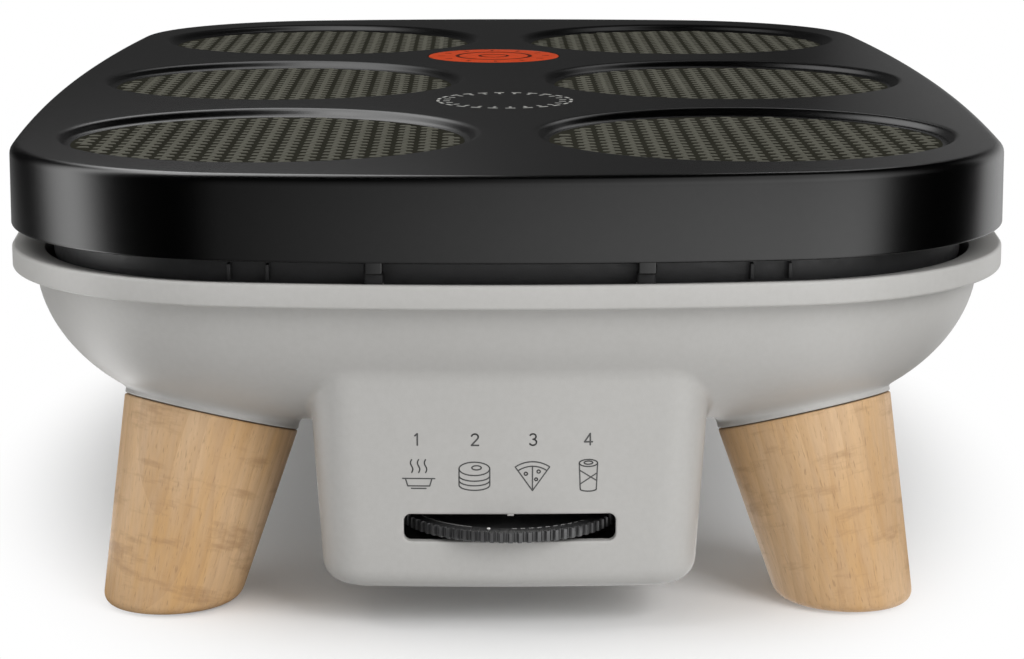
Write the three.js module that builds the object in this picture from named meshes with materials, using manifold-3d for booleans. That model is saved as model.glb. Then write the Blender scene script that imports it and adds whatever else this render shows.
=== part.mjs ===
// Electric crepe maker for six small crepes: a lift-off cast plate over a moulded base on four splayed
// wooden legs, with a thumb wheel in the control box at the front.
// Millimetres, +Z up. The origin is on the floor under the middle of the plate. The controls face -Y.
import * as THREE from 'three';
import { mergeVertices } from 'three/addons/utils/BufferGeometryUtils.js';
import Module from 'manifold-3d';

const wasm = await Module();
wasm.setup();

// Clearances that every piece shares
const touchGap = 0.3;
const cutOverrun = 5;
const bite = 1;
const weld = 0.0001;

// Plan outline of the plate and of the base's rim: side, end and corner arcs that meet in tangents
const halfWidth = 149.5;
const halfLength = 237.6;
const sideArcRadius = 2233;
const endArcRadius = 563.5;
const cornerRadius = 77.5;

// Heights stacked from the floor up: control box, bowl, rim, gap and the plate's skirt
const boxClearance = 12;
const boxHang = 40;
const bowlDepth = 42.2;
const rimBandHeight = 6.7;
const rimGap = 5.8;
const skirtHeight = 23.3;

// Cooking plate
const skirtWall = 3.5;
const skirtDraft = 0.2;
const deckThickness = 6;
const plateEdgeRadius = 3;
const deckFilletRadius = 3;
const lugWidth = 5;
const lugDrop = 3.65;
const lugX = 36.4;
const lugReach = 7;

// Six crepe recesses in two columns; the middle row stands a little further apart
const recessLipRadius = 63;
const recessDepth = 2.5;
const recessSlopeWidth = 5.5;
const endRowInset = 90.7;
const middleRowInset = 74;
const rowStagger = 5.4;

// Heat indicator inlaid in the plate's top, between the middle and the rear row
const indicatorX = -2.7;
const indicatorShift = 4.55;
const indicatorRadius = 24.3;
const indicatorThickness = 0.8;

// Base shell: rim edge, bowl profile and wall
const rimEdgeRadius = 0.9;
const rimSlopeWidth = 9;
const rimSlopeDrop = 1.3;
const bowlTopInset = 6.8;
const bowlRun = 50.7;
const bowlRoundness = 1.86;
const shellWall = 2.6;

// Rests that carry the plate's lugs, each with a soft pad on its stub
const restStubHeight = 1.6;
const restInset = 6.2;
const padSide = 5;

// Legs
const legX = 85.5;
const legEndInset = 60.6;
const legJointRise = 1.4;
const legSplayX = 12.8;
const legSplayY = 12;
const legTopRadius = 25.4;
const legTaper = 0.114;
const legEdgeRadius = 3;
const legFootGap = 0.6;
const socketFloor = 3.5;
const socketWall = 2.8;
const socketHeight = 13;
const socketFlare = 6.6;
const boltRadius = 3;
const boltHeadRadius = 6;
const boltHeadHeight = 4;
const boltGrip = 26;
const footPadRadius = 12;
const footPadThickness = 2;

// Control box under the front of the bowl
const boxFaceInset = 15.6;
const boxDepth = 80;
const boxHalfWidth = 51.8;
const boxSideDraft = 3.56;
const boxFaceDraft = 1.5;
const boxRise = 26;
const boxCornerRadius = 13;
const boxEdgeRadius = 6;
const boxFloor = 5;
const windowHalfWidth = 29.15;
const windowRise = 15.4;
const windowHeight = 6.9;
const windowCornerRadius = 2;

// Bottom cover of the control box and its screws
const coverMargin = 8;
const coverThickness = 2.4;
const coverCornerRadius = 5;
const ledgeWidth = 5;
const ledgeCorner = 13;
const coverScrewInset = 9;
const screwRadius = 1.4;
const screwHeadRadius = 2.9;
const screwHeadHeight = 1.2;
const screwLength = 4.2;
const pivotCupRadius = 6;
const pivotCupHeight = 8.8;

// Thumb wheel and its spindle
const wheelSetback = 24.7;
const wheelRadius = 31.2;
const wheelLift = 0.4;
const wheelRibHeight = 3;
const wheelRimRadius = 27.6;
const wheelRimRise = 0.4;
const wheelWebRise = 2.2;
const wheelWebThickness = 1.8;
const wheelHubRadius = 7;
const wheelHubHeight = 8;
const wheelRibs = 75;
const wheelRibDepth = 0.5;
const spindleRadius = 3;
const spindleDepth = 7;

// Thermostat over the wheel, hung from a strap
const thermostatHalfX = 17;
const thermostatFront = 15.7;
const thermostatBack = 30.3;
const thermostatRise = 13.2;
const thermostatHeight = 22;
const thermostatCollarRadius = 6;
const thermostatCollarHeight = 3;
const strapThickness = 1.5;
const strapHalfDepth = 9;
const strapPostX = 42;
const strapPostRadius = 4.5;

// Sensor rod that the lift-off plate presses down
const sensorSetback = 21.3;
const sensorRodRadius = 3;
const sensorHeadRadius = 8;
const sensorHeadHeight = 3;
const sensorTravel = 2;
const guideFlangeRadius = 12;
const guideFlangeHeight = 1.5;
const guideRadius = 5.5;
const guideAbove = 7;
const guideBelow = 7;
const springWire = 0.6;
const springRadius = 5;
const springCurls = 5;

// Heat shield: the black pan that closes the top of the base
const shieldInset = 12;
const shieldDip = 6;
const shieldWall = 1.2;
const shieldStand = 4.1;
const shieldCornerRadius = 4;
const shieldPostSideInset = 63.5;
const shieldPostEndInset = 127.6;
const shieldPostRadius = 5;
const shieldRibOuterX = 75.6;
const shieldRibInnerX = 65.2;
const shieldRibWidth = 1;
const shieldRibReach = 2.6;
const shieldRibHeight = 9;
const shieldScrewRadius = 1.7;
const shieldScrewHeadRadius = 4;
const shieldScrewHeadHeight = 2.2;
const shieldScrewLength = 12;

// Reflector tray on four tubular posts
const reflectorInset = 20;
const reflectorDrop = 13.5;
const reflectorWall = 1;
const reflectorLip = 5.5;
const reflectorPostEndInset = 105.6;
const reflectorPostRadius = 4;
const reflectorPostBore = 1.8;

// Tubular heating element
const elementRadius = 3.5;
const elementInnerX = 40;
const elementSideInset = 41.5;
const elementBackInset = 38.6;
const elementFrontInset = 42.6;
const elementTerminalInset = 77.6;
const elementBend = 10;
const elementEndDrop = 8.9;
const terminalPinRadius = 1.6;
const terminalPinLength = 6;
const terminalHoleRadius = 6;
const clipHalfX = 5.5;
const clipHalfY = 4;
const clipShare = 0.36;

// Wiring in the base
const leadRadius = 1.3;
const terminalBlockInset = 72.6;
const terminalBlockHalfX = 16;
const terminalBlockHalfY = 8;
const terminalBlockHeight = 12;
const fuseX = 30;
const fuseSetback = 42;
const fuseRadius = 2.6;
const fuseLength = 16;

// Cable bush in the rear wall
const glandRise = 17;
const glandBoreRadius = 3.8;
const glandBodyRadius = 6.5;
const glandFlangeRadius = 9;
const glandFlangeThickness = 2.5;
const glandSeatRadius = 11;
const glandSeatInset = 10.6;
const glandSeatDepth = 29;
const glandNoseLength = 10;

// Facets of the round shapes
const sideSteps = 2;
const cornerSteps = 6;
const endSteps = 2;
const bowlSteps = 8;
const hollowSteps = 4;
const bigRound = 32;
const midRound = 16;
const smallRound = 8;
const tubeSides = 6;
const stepsPerCurl = 8;

// Heights that follow from the stack
const boxBottomZ = boxClearance;
const bowlFloorZ = boxBottomZ + boxHang;
const rimBottomZ = bowlFloorZ + bowlDepth;
const rimTopZ = rimBottomZ + rimBandHeight;
const rimInnerZ = rimTopZ - rimSlopeDrop;
const skirtBottomZ = rimTopZ + rimGap;
const plateTopZ = skirtBottomZ + skirtHeight;
const deckBottomZ = plateTopZ - deckThickness;
const lugBottomZ = skirtBottomZ - lugDrop;
const stubTopZ = rimInnerZ + restStubHeight;
const innerFloorZ = bowlFloorZ + shellWall;
const legJointZ = bowlFloorZ + legJointRise;
const boxTopZ = bowlFloorZ + boxRise;
const boxInnerFloorZ = boxBottomZ + boxFloor;
const windowBottomZ = boxBottomZ + windowRise;
const wheelBottomZ = windowBottomZ + wheelLift;
const wheelWebTopZ = wheelBottomZ + wheelWebRise;
const thermostatBottomZ = wheelBottomZ + thermostatRise;
const thermostatTopZ = thermostatBottomZ + thermostatHeight;
const spindleTopZ = thermostatBottomZ + spindleDepth;
const strapZ = thermostatTopZ + touchGap;
const shieldFloorZ = rimTopZ - shieldDip;
const shieldFloorTopZ = shieldFloorZ + shieldWall;
const shieldTopZ = rimTopZ + shieldStand;
const shieldPostTopZ = shieldFloorZ - touchGap;
const reflectorFloorZ = deckBottomZ - reflectorDrop;
const reflectorTopZ = reflectorFloorZ + reflectorWall;
const elementZ = deckBottomZ - touchGap - elementRadius;
const elementEndZ = shieldFloorZ - elementEndDrop;
const glandZ = bowlFloorZ + glandRise;

// Places in plan that follow from the outline's length and width
const rowPitch = halfLength - endRowInset;
const middleRowX = halfWidth - middleRowInset;
const endRowX = middleRowX - rowStagger;
const indicatorY = rowPitch / 2 + indicatorShift;
const legY = halfLength - legEndInset;
const boxFaceY = halfLength - boxFaceInset;
const boxBackY = boxFaceY - boxDepth;
const wheelY = wheelSetback - boxFaceY;
const thermostatFrontY = wheelY - thermostatFront;
const thermostatBackY = wheelY + thermostatBack;
const sensorY = wheelY + sensorSetback;
const shieldPostX = halfWidth - shieldPostSideInset;
const shieldPostY = halfLength - shieldPostEndInset;
const elementOuterX = halfWidth - elementSideInset;
const elementTurnRadius = (elementOuterX - elementInnerX) / 2;
const elementBackY = halfLength - elementBackInset - elementTurnRadius;
const elementCornerY = elementFrontInset - halfLength + elementTurnRadius;
const elementTerminalY = elementTerminalInset - halfLength;
const reflectorPostX = elementInnerX + elementTurnRadius;
const reflectorPostY = halfLength - reflectorPostEndInset;
const clipOuterY = halfLength * clipShare;
const terminalBlockY = halfLength - terminalBlockInset;
const fuseY = fuseSetback - boxBackY;
const glandSeatY = halfLength - glandSeatInset;

const corners = [
  { name: 'front_left', x: -1, y: -1 },
  { name: 'front_right', x: 1, y: -1 },
  { name: 'rear_left', x: -1, y: 1 },
  { name: 'rear_right', x: 1, y: 1 },
];

// A geometry with only positions, its shared vertices merged and its flat slivers left out.
function closed(geometry) {
  geometry.deleteAttribute('normal');
  geometry.deleteAttribute('uv');
  const merged = mergeVertices(geometry, weld);
  const kept = [];
  for (let i = 0; i < merged.index.count; i += 3) {
    const a = merged.index.getX(i);
    const b = merged.index.getX(i + 1);
    const c = merged.index.getX(i + 2);
    if (a !== b && b !== c && c !== a) kept.push(a, b, c);
  }
  merged.setIndex(kept);
  return merged;
}

function toSolid(geometry) {
  return new wasm.Manifold(new wasm.Mesh({
    numProp: 3,
    vertProperties: new Float32Array(geometry.attributes.position.array),
    triVerts: new Uint32Array(geometry.index.array),
  }));
}

function toGeometry(solid) {
  const mesh = solid.getMesh();
  const geometry = new THREE.BufferGeometry();
  geometry.setAttribute('position', new THREE.BufferAttribute(new Float32Array(mesh.vertProperties), 3));
  geometry.setIndex(Array.from(mesh.triVerts));
  return geometry;
}

function join(...geometries) {
  return toGeometry(geometries.map(toSolid).reduce((all, next) => all.add(next)));
}

function cut(body, ...cutters) {
  return toGeometry(cutters.map(toSolid).reduce((rest, cutter) => rest.subtract(cutter), toSolid(body)));
}

// A closed solid through rings of [x, y, z] points, from bottom to top, each counterclockwise from above.
function loft(rings) {
  const count = rings[0].length;
  const index = [];
  for (let level = 0; level + 1 < rings.length; level += 1) {
    for (let i = 0; i < count; i += 1) {
      const next = (i + 1) % count;
      const low = level * count;
      const high = low + count;
      index.push(low + i, low + next, high + next, low + i, high + next, high + i);
    }
  }
  const top = (rings.length - 1) * count;
  for (let i = 1; i + 1 < count; i += 1) {
    index.push(0, i + 1, i, top, top + i, top + i + 1);
  }
  const geometry = new THREE.BufferGeometry();
  geometry.setAttribute('position', new THREE.Float32BufferAttribute(rings.flat(2), 3));
  geometry.setIndex(index);
  return geometry;
}

// A solid of revolution about Z from [radius, z] points, which start and end on the axis or close up.
function turned(profile, segments) {
  const points = profile.map(([radius, z]) => new THREE.Vector2(radius, z));
  return closed(new THREE.LatheGeometry(points, segments).rotateX(Math.PI / 2));
}

function cylinder(radius, lowZ, highZ, segments) {
  return turned([[0, lowZ], [radius, lowZ], [radius, highZ], [0, highZ]], segments);
}

function block(lowX, highX, lowY, highY, lowZ, highZ) {
  const box = new THREE.BoxGeometry(highX - lowX, highY - lowY, highZ - lowZ);
  box.translate((lowX + highX) / 2, (lowY + highY) / 2, (lowZ + highZ) / 2);
  return closed(box);
}

// A flat plan shape pulled up from lowZ to highZ.
function slab(shape, lowZ, highZ) {
  const solid = new THREE.ExtrudeGeometry(shape, {
    depth: highZ - lowZ,
    bevelEnabled: false,
    curveSegments: smallRound / 4,
  });
  solid.translate(0, 0, lowZ);
  return closed(solid);
}

function roundedRectangle(lowX, highX, lowY, highY, radius) {
  const shape = new THREE.Shape();
  shape.moveTo(lowX + radius, lowY);
  shape.lineTo(highX - radius, lowY);
  shape.absarc(highX - radius, lowY + radius, radius, -Math.PI / 2, 0, false);
  shape.lineTo(highX, highY - radius);
  shape.absarc(highX - radius, highY - radius, radius, 0, Math.PI / 2, false);
  shape.lineTo(lowX + radius, highY);
  shape.absarc(lowX + radius, highY - radius, radius, Math.PI / 2, Math.PI, false);
  shape.lineTo(lowX, lowY + radius);
  shape.absarc(lowX + radius, lowY + radius, radius, Math.PI, Math.PI * 3 / 2, false);
  return shape;
}

// A path whose even steps fall on chosen stations, so bends get more rings than straight runs.
class StationPath extends THREE.Curve {
  constructor(stations) {
    super();
    this.stations = stations;
  }

  getPoint(t) {
    const place = t * (this.stations.length - 1);
    const low = Math.min(Math.floor(place), this.stations.length - 2);
    return new THREE.Vector3().lerpVectors(this.stations[low], this.stations[low + 1], place - low);
  }

  getPointAt(t) {
    return this.getPoint(t);
  }

  getTangentAt(t) {
    const last = this.stations.length - 1;
    const here = Math.round(t * last);
    const before = this.stations[Math.max(here - 1, 0)];
    const after = this.stations[Math.min(here + 1, last)];
    return new THREE.Vector3().subVectors(after, before).normalize();
  }
}

function tube(stations, radius, sides) {
  const section = new THREE.Shape();
  section.absarc(0, 0, radius, 0, Math.PI * 2, false);
  return closed(new THREE.ExtrudeGeometry(section, {
    steps: stations.length - 1,
    bevelEnabled: false,
    curveSegments: sides / 2,
    extrudePath: new StationPath(stations),
  }));
}

// Where the corner arc's centre lies, so that it touches the side arc and the end arc from inside.
function cornerCentre() {
  const side = new THREE.Vector2(halfWidth - sideArcRadius, 0);
  const end = new THREE.Vector2(0, halfLength - endArcRadius);
  const toSide = sideArcRadius - cornerRadius;
  const toEnd = endArcRadius - cornerRadius;
  const between = side.distanceTo(end);
  const along = (toSide ** 2 - toEnd ** 2 + between ** 2) / (2 * between);
  const across = Math.sqrt(toSide ** 2 - along ** 2);
  const direction = end.clone().sub(side).divideScalar(between);
  return new THREE.Vector2(
    side.x + along * direction.x - across * direction.y,
    side.y + along * direction.y + across * direction.x,
  );
}

const corner = cornerCentre();
const sideAngle = Math.atan2(corner.y, corner.x - (halfWidth - sideArcRadius));
const endAngle = Math.atan2(corner.y - (halfLength - endArcRadius), corner.x);
const quarterArcs = [
  { x: halfWidth - sideArcRadius, y: 0, radius: sideArcRadius, from: 0, to: sideAngle, steps: sideSteps },
  { x: corner.x, y: corner.y, radius: cornerRadius, from: sideAngle, to: endAngle, steps: cornerSteps },
  { x: 0, y: halfLength - endArcRadius, radius: endArcRadius, from: endAngle, to: Math.PI / 2, steps: endSteps },
];

// The plan outline, drawn in by an inset, as a ring at a height.
function planRing(inset, z) {
  const quarter = [];
  quarterArcs.forEach((arc, order) => {
    for (let i = order === 0 ? 0 : 1; i <= arc.steps; i += 1) {
      const angle = arc.from + (arc.to - arc.from) * i / arc.steps;
      const reach = arc.radius - inset;
      quarter.push([arc.x + reach * Math.cos(angle), arc.y + reach * Math.sin(angle)]);
    }
  });
  return [
    ...quarter.map(([x, y]) => [x, y, z]),
    ...quarter.slice(0, -1).reverse().map(([x, y]) => [-x, y, z]),
    ...quarter.slice(1).map(([x, y]) => [-x, -y, z]),
    ...quarter.slice(1, -1).reverse().map(([x, y]) => [x, -y, z]),
  ];
}

function planLoft(levels) {
  return loft(levels.map(([inset, z]) => planRing(inset, z)));
}

// The front edge of the plan outline at a distance from the centre line, drawn in by an inset.
function frontEdgeY(x, inset) {
  const onCorner = Math.abs(x) > corner.x + (cornerRadius - inset) * Math.cos(endAngle);
  const arc = quarterArcs[onCorner ? 1 : 2];
  return -(arc.y + Math.sqrt((arc.radius - inset) ** 2 - (Math.abs(x) - arc.x) ** 2));
}

// Cooking plate: a deck with a skirt round it, six recesses, and lugs inside the skirt at both ends.
function recessCutter(x, y) {
  const floorRadius = recessLipRadius - recessSlopeWidth;
  const floorZ = plateTopZ - recessDepth;
  const slopeShares = [[0.32, 0.16], [0.58, 0.6], [0.78, 0.9]];
  const cutter = turned([
    [0, floorZ],
    [floorRadius, floorZ],
    ...slopeShares.map(([out, up]) => [floorRadius + out * recessSlopeWidth, floorZ + up * recessDepth]),
    [recessLipRadius, plateTopZ],
    [recessLipRadius, plateTopZ + cutOverrun],
    [0, plateTopZ + cutOverrun],
  ], bigRound);
  return cutter.translate(x, y, 0);
}

function cookingPlate() {
  const edge = plateEdgeRadius;
  const bevelShares = [[0, 1], [0.3, 0.3], [1, 0]];
  const body = planLoft([
    [0, skirtBottomZ],
    ...bevelShares.map(([inward, down]) => [skirtDraft + inward * edge, plateTopZ - down * edge]),
  ]);
  const hollowInset = skirtDraft + skirtWall;
  const hollow = planLoft([
    [hollowInset, skirtBottomZ - cutOverrun],
    [hollowInset, deckBottomZ - deckFilletRadius],
    [hollowInset + deckFilletRadius, deckBottomZ],
  ]);
  const recesses = [];
  for (const side of [-1, 1]) {
    recesses.push(recessCutter(side * endRowX, -rowPitch));
    recesses.push(recessCutter(side * middleRowX, 0));
    recesses.push(recessCutter(side * endRowX, rowPitch));
  }
  const pocket = cylinder(
    indicatorRadius + touchGap,
    plateTopZ - indicatorThickness - touchGap,
    plateTopZ + cutOverrun,
    bigRound,
  ).translate(indicatorX, indicatorY, 0);
  const lugs = corners.map((place) => {
    const outerY = -frontEdgeY(lugX, hollowInset) + bite;
    const innerY = outerY - bite - lugReach;
    const lowY = place.y > 0 ? innerY : -outerY;
    const highY = place.y > 0 ? outerY : -innerY;
    const middleX = place.x * lugX;
    const half = lugWidth / 2;
    return block(middleX - half, middleX + half, lowY, highY, lugBottomZ, deckBottomZ + bite);
  });
  const shaped = cut(body, hollow, ...recesses, pocket);
  return join(shaped, ...lugs);
}

function heatIndicator() {
  const disc = cylinder(indicatorRadius, plateTopZ - indicatorThickness, plateTopZ, bigRound);
  return disc.translate(indicatorX, indicatorY, 0);
}

// Bowl profile as [inset, z] levels from the floor up: a quarter of a superellipse.
function bowlLevels(topInset, run, depth, steps) {
  const levels = [];
  for (let i = steps; i >= 0; i -= 1) {
    const angle = i / steps * Math.PI / 2;
    const across = Math.abs(Math.cos(angle)) ** (2 / bowlRoundness);
    const down = Math.sin(angle) ** (2 / bowlRoundness);
    levels.push([topInset + run * (1 - across), rimBottomZ - depth * down]);
  }
  return levels;
}

// One level of the control box: the face follows an arc, the sides and the back are straight.
function boxRing(z, grow) {
  const rise = z - boxBottomZ;
  const faceRise = z - windowBottomZ;
  const half = boxHalfWidth + rise * Math.tan(THREE.MathUtils.degToRad(boxSideDraft)) + grow;
  const face = boxFaceY + faceRise * Math.tan(THREE.MathUtils.degToRad(boxFaceDraft)) + grow;
  const back = -boxBackY + grow;
  const radius = boxCornerRadius + grow;
  const sagAt = (x) => endArcRadius - Math.sqrt(endArcRadius ** 2 - x ** 2);
  const arcX = half - radius;
  const ring = [];
  for (let i = 0; i < endSteps * 2; i += 1) {
    const x = -arcX + arcX * i / endSteps;
    ring.push([x, -face + sagAt(x), z]);
  }
  const quarters = [
    [arcX, -face + sagAt(arcX) + radius, -Math.PI / 2],
    [arcX, back - radius, 0],
    [-arcX, back - radius, Math.PI / 2],
    [-arcX, -face + sagAt(arcX) + radius, Math.PI],
  ];
  for (const [x, y, start] of quarters) {
    for (let i = 0; i <= cornerSteps / 2; i += 1) {
      const angle = start + i / cornerSteps * Math.PI;
      ring.push([x + radius * Math.cos(angle), y + radius * Math.sin(angle), z]);
    }
  }
  ring.pop();
  return ring;
}

// The frame of one leg: the joint's centre with local +Z up along the leg's axis.
function legFrame(place) {
  const axis = new THREE.Vector3(
    -place.x * Math.tan(THREE.MathUtils.degToRad(legSplayX)),
    -place.y * Math.tan(THREE.MathUtils.degToRad(legSplayY)),
    1,
  ).normalize();
  const turn = new THREE.Quaternion().setFromUnitVectors(new THREE.Vector3(0, 0, 1), axis);
  const centre = new THREE.Vector3(place.x * legX, place.y * legY, legJointZ);
  return new THREE.Matrix4().compose(centre, turn, new THREE.Vector3(1, 1, 1));
}

// The moulded socket over a leg: it flares as it runs up into the bowl.
function socketSolid(place) {
  const flareShares = [[0.35, 0.07], [0.62, 0.28], [0.85, 0.62], [1, 1]];
  const flare = flareShares.map(([up, out]) => [legTopRadius + out * socketFlare, up * socketHeight]);
  const profile = [[0, 0], [legTopRadius, 0], ...flare, [0, socketHeight]];
  return turned(profile, midRound).applyMatrix4(legFrame(place));
}

function socketHollow(place) {
  const radius = legTopRadius - socketWall;
  return cylinder(radius, socketFloor, socketHeight + bite, midRound).applyMatrix4(legFrame(place));
}

// Room for the leg's top, where the bowl's floor would dip below the joint.
function legRelief(place) {
  return cylinder(legTopRadius + touchGap, -cutOverrun, 0, midRound).applyMatrix4(legFrame(place));
}

function socketBore(place) {
  const radius = boltRadius + touchGap;
  return cylinder(radius, -cutOverrun, socketFloor + cutOverrun, smallRound).applyMatrix4(legFrame(place));
}

// A corner-cut rectangle inside the box's floor, which leaves a ledge with room for the screws.
function ledgeOpening() {
  const half = boxHalfWidth - coverMargin - ledgeWidth;
  const front = -(boxFaceY - coverMargin - ledgeWidth);
  const back = -(boxBackY + coverMargin + ledgeWidth);
  const shape = new THREE.Shape();
  shape.moveTo(-half + ledgeCorner, front);
  shape.lineTo(half - ledgeCorner, front);
  shape.lineTo(half, front + ledgeCorner);
  shape.lineTo(half, back - ledgeCorner);
  shape.lineTo(half - ledgeCorner, back);
  shape.lineTo(-half + ledgeCorner, back);
  shape.lineTo(-half, back - ledgeCorner);
  shape.lineTo(-half, front + ledgeCorner);
  shape.closePath();
  return slab(shape, boxBottomZ - cutOverrun, boxInnerFloorZ + cutOverrun);
}

function coverOutline(margin) {
  return roundedRectangle(
    -boxHalfWidth + margin,
    boxHalfWidth - margin,
    -boxFaceY + margin,
    -boxBackY - margin,
    coverCornerRadius,
  );
}

function coverScrewPlaces() {
  const reach = coverMargin + coverScrewInset;
  const middle = -(boxFaceY + boxBackY) / 2;
  const halfDepth = (boxFaceY - boxBackY) / 2 - reach + coverScrewInset / 3;
  return corners.map((place) => ({
    name: place.name,
    x: place.x * (boxHalfWidth - reach + coverScrewInset / 3),
    y: middle + place.y * halfDepth,
  }));
}

function windowCutter() {
  const shape = roundedRectangle(
    -windowHalfWidth,
    windowHalfWidth,
    windowBottomZ,
    windowBottomZ + windowHeight,
    windowCornerRadius,
  );
  const cutter = slab(shape, 0, shellWall + 2 * cutOverrun);
  return cutter.rotateX(Math.PI / 2).translate(0, -boxFaceY + shellWall + cutOverrun, 0);
}

// The stub under each soft pad, grown from the inner edge of the rim.
function restPlaceY(place) {
  return -place.y * (frontEdgeY(lugX, restInset) + padSide / 2);
}

function restStub(place) {
  const middleY = restPlaceY(place);
  const half = padSide / 2;
  const middleX = place.x * lugX;
  const lowZ = rimInnerZ - bite - shellWall;
  return block(middleX - half, middleX + half, middleY - half, middleY + half, lowZ, stubTopZ);
}

function alongY(solid) {
  return solid.rotateX(-Math.PI / 2);
}

function baseShell() {
  const outer = planLoft([
    ...bowlLevels(bowlTopInset, bowlRun, bowlDepth, bowlSteps),
    [rimEdgeRadius, rimBottomZ],
    [0, rimBottomZ + rimEdgeRadius],
    [0, rimTopZ - rimEdgeRadius],
    [rimEdgeRadius, rimTopZ],
    [rimSlopeWidth, rimInnerZ],
  ]);
  const hollow = planLoft([
    ...bowlLevels(bowlTopInset + shellWall, bowlRun - shellWall, bowlDepth - shellWall, hollowSteps),
    [bowlTopInset + shellWall, rimTopZ + cutOverrun],
  ]);
  const edgeShares = [[1, 0], [0.3, 0.3], [0, 1]];
  const boxBody = loft([
    ...edgeShares.map(([inward, up]) => boxRing(boxBottomZ + up * boxEdgeRadius, -inward * boxEdgeRadius)),
    boxRing(boxTopZ, 0),
  ]);
  const boxHollow = loft([boxRing(boxInnerFloorZ, -shellWall), boxRing(boxTopZ + bite, -shellWall)]);
  const glandSeat = alongY(cylinder(glandSeatRadius, glandSeatY - glandSeatDepth, glandSeatY, midRound));
  glandSeat.translate(0, 0, glandZ);
  const outside = join(outer, boxBody, glandSeat, ...corners.map(socketSolid));
  const shell = cut(outside, hollow, boxHollow, ...corners.map(socketHollow));
  const posts = corners.map((place) => cylinder(
    shieldPostRadius,
    bowlFloorZ + bite,
    shieldPostTopZ,
    smallRound,
  ).translate(place.x * shieldPostX, place.y * shieldPostY, 0));
  const strapPosts = [-1, 1].map((side) => cylinder(
    strapPostRadius,
    boxInnerFloorZ - bite,
    strapZ - touchGap,
    smallRound,
  ).translate(side * strapPostX, wheelY, 0));
  const filled = join(shell, ...posts, ...strapPosts, ...corners.map(restStub));
  const rebate = slab(coverOutline(coverMargin), boxBottomZ - cutOverrun, boxBottomZ + coverThickness + touchGap);
  const coverHoles = coverScrewPlaces().map(({ x, y }) => cylinder(
    screwRadius + touchGap,
    boxBottomZ,
    boxInnerFloorZ + cutOverrun,
    smallRound,
  ).translate(x, y, 0));
  const postHoles = corners.map((place) => cylinder(
    shieldScrewRadius + touchGap,
    shieldPostTopZ - shieldScrewLength,
    shieldPostTopZ + cutOverrun,
    smallRound,
  ).translate(place.x * shieldPostX, place.y * shieldPostY, 0));
  const strapHoles = [-1, 1].map((side) => cylinder(
    screwRadius + touchGap,
    strapZ - touchGap - screwLength * 2,
    strapZ + cutOverrun,
    smallRound,
  ).translate(side * strapPostX, wheelY, 0));
  const glandBore = alongY(cylinder(
    glandBodyRadius + touchGap,
    glandSeatY - glandSeatDepth - cutOverrun,
    glandSeatY + cutOverrun,
    midRound,
  )).translate(0, 0, glandZ);
  return cut(
    filled,
    ledgeOpening(),
    rebate,
    windowCutter(),
    glandBore,
    ...coverHoles,
    ...postHoles,
    ...strapHoles,
    ...corners.map(legRelief),
    ...corners.map(socketBore),
  );
}

// Soft pad on a rest stub, just under the plate's lug.
function restPad(place) {
  const half = padSide / 2;
  const middleX = place.x * lugX;
  const middleY = restPlaceY(place);
  return block(
    middleX - half,
    middleX + half,
    middleY - half,
    middleY + half,
    stubTopZ + touchGap,
    lugBottomZ - touchGap,
  );
}

// Leg: a tapered cone whose foot is cut level with the floor and rounded, bored for its bolt and pad.
function legRing(place, plane) {
  const frame = legFrame(place);
  const centre = new THREE.Vector3().setFromMatrixPosition(frame);
  const up = new THREE.Vector3().setFromMatrixColumn(frame, 2);
  const ring = [];
  for (let i = 0; i < bigRound; i += 1) {
    const angle = i / bigRound * Math.PI * 2;
    const spoke = new THREE.Vector3(Math.cos(angle), Math.sin(angle), 0).transformDirection(frame);
    const start = centre.clone().addScaledVector(spoke, legTopRadius);
    const fall = up.clone().addScaledVector(spoke, legTaper).negate();
    const length = plane.depth ?? (plane.z - start.z) / fall.z;
    const point = start.addScaledVector(fall, length);
    point.addScaledVector(spoke, -(plane.inset ?? 0));
    ring.push([point.x, point.y, plane.z ?? point.z]);
  }
  return ring;
}

function leg(place) {
  const edgeShares = [[1, 0], [0.3, 0.3], [0, 1]];
  const body = loft([
    ...edgeShares.map(([inward, up]) => legRing(place, {
      z: legFootGap + up * legEdgeRadius,
      inset: inward * legEdgeRadius,
    })),
    legRing(place, { depth: touchGap }),
  ]);
  const bore = cylinder(boltRadius + touchGap, -boltGrip - touchGap, cutOverrun, smallRound);
  bore.applyMatrix4(legFrame(place));
  const foot = footCentre(place);
  const pocket = cylinder(
    footPadRadius + touchGap,
    -cutOverrun,
    footPadThickness + touchGap,
    midRound,
  ).translate(foot.x, foot.y, 0);
  return cut(body, bore, pocket);
}

// Where a leg's axis meets the floor.
function footCentre(place) {
  return new THREE.Vector2(
    place.x * (legX + legJointZ * Math.tan(THREE.MathUtils.degToRad(legSplayX))),
    place.y * (legY + legJointZ * Math.tan(THREE.MathUtils.degToRad(legSplayY))),
  );
}

function footPad(place) {
  const foot = footCentre(place);
  return cylinder(footPadRadius, 0, footPadThickness, midRound).translate(foot.x, foot.y, 0);
}

function legBolt() {
  const seat = socketFloor + touchGap;
  return turned([
    [0, touchGap - boltGrip],
    [boltRadius, touchGap - boltGrip],
    [boltRadius, seat],
    [boltHeadRadius, seat],
    [boltHeadRadius, seat + boltHeadHeight],
    [0, seat + boltHeadHeight],
  ], smallRound);
}

// A pan-head screw whose head's underside is at zero and whose shank points along +Z.
function panScrew(shankRadius, headRadius, headHeight, length) {
  return turned([
    [0, -headHeight],
    [headRadius * 3 / 4, -headHeight],
    [headRadius, -headHeight / 2],
    [headRadius, 0],
    [shankRadius, 0],
    [shankRadius, length],
    [0, length],
  ], smallRound);
}

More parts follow.
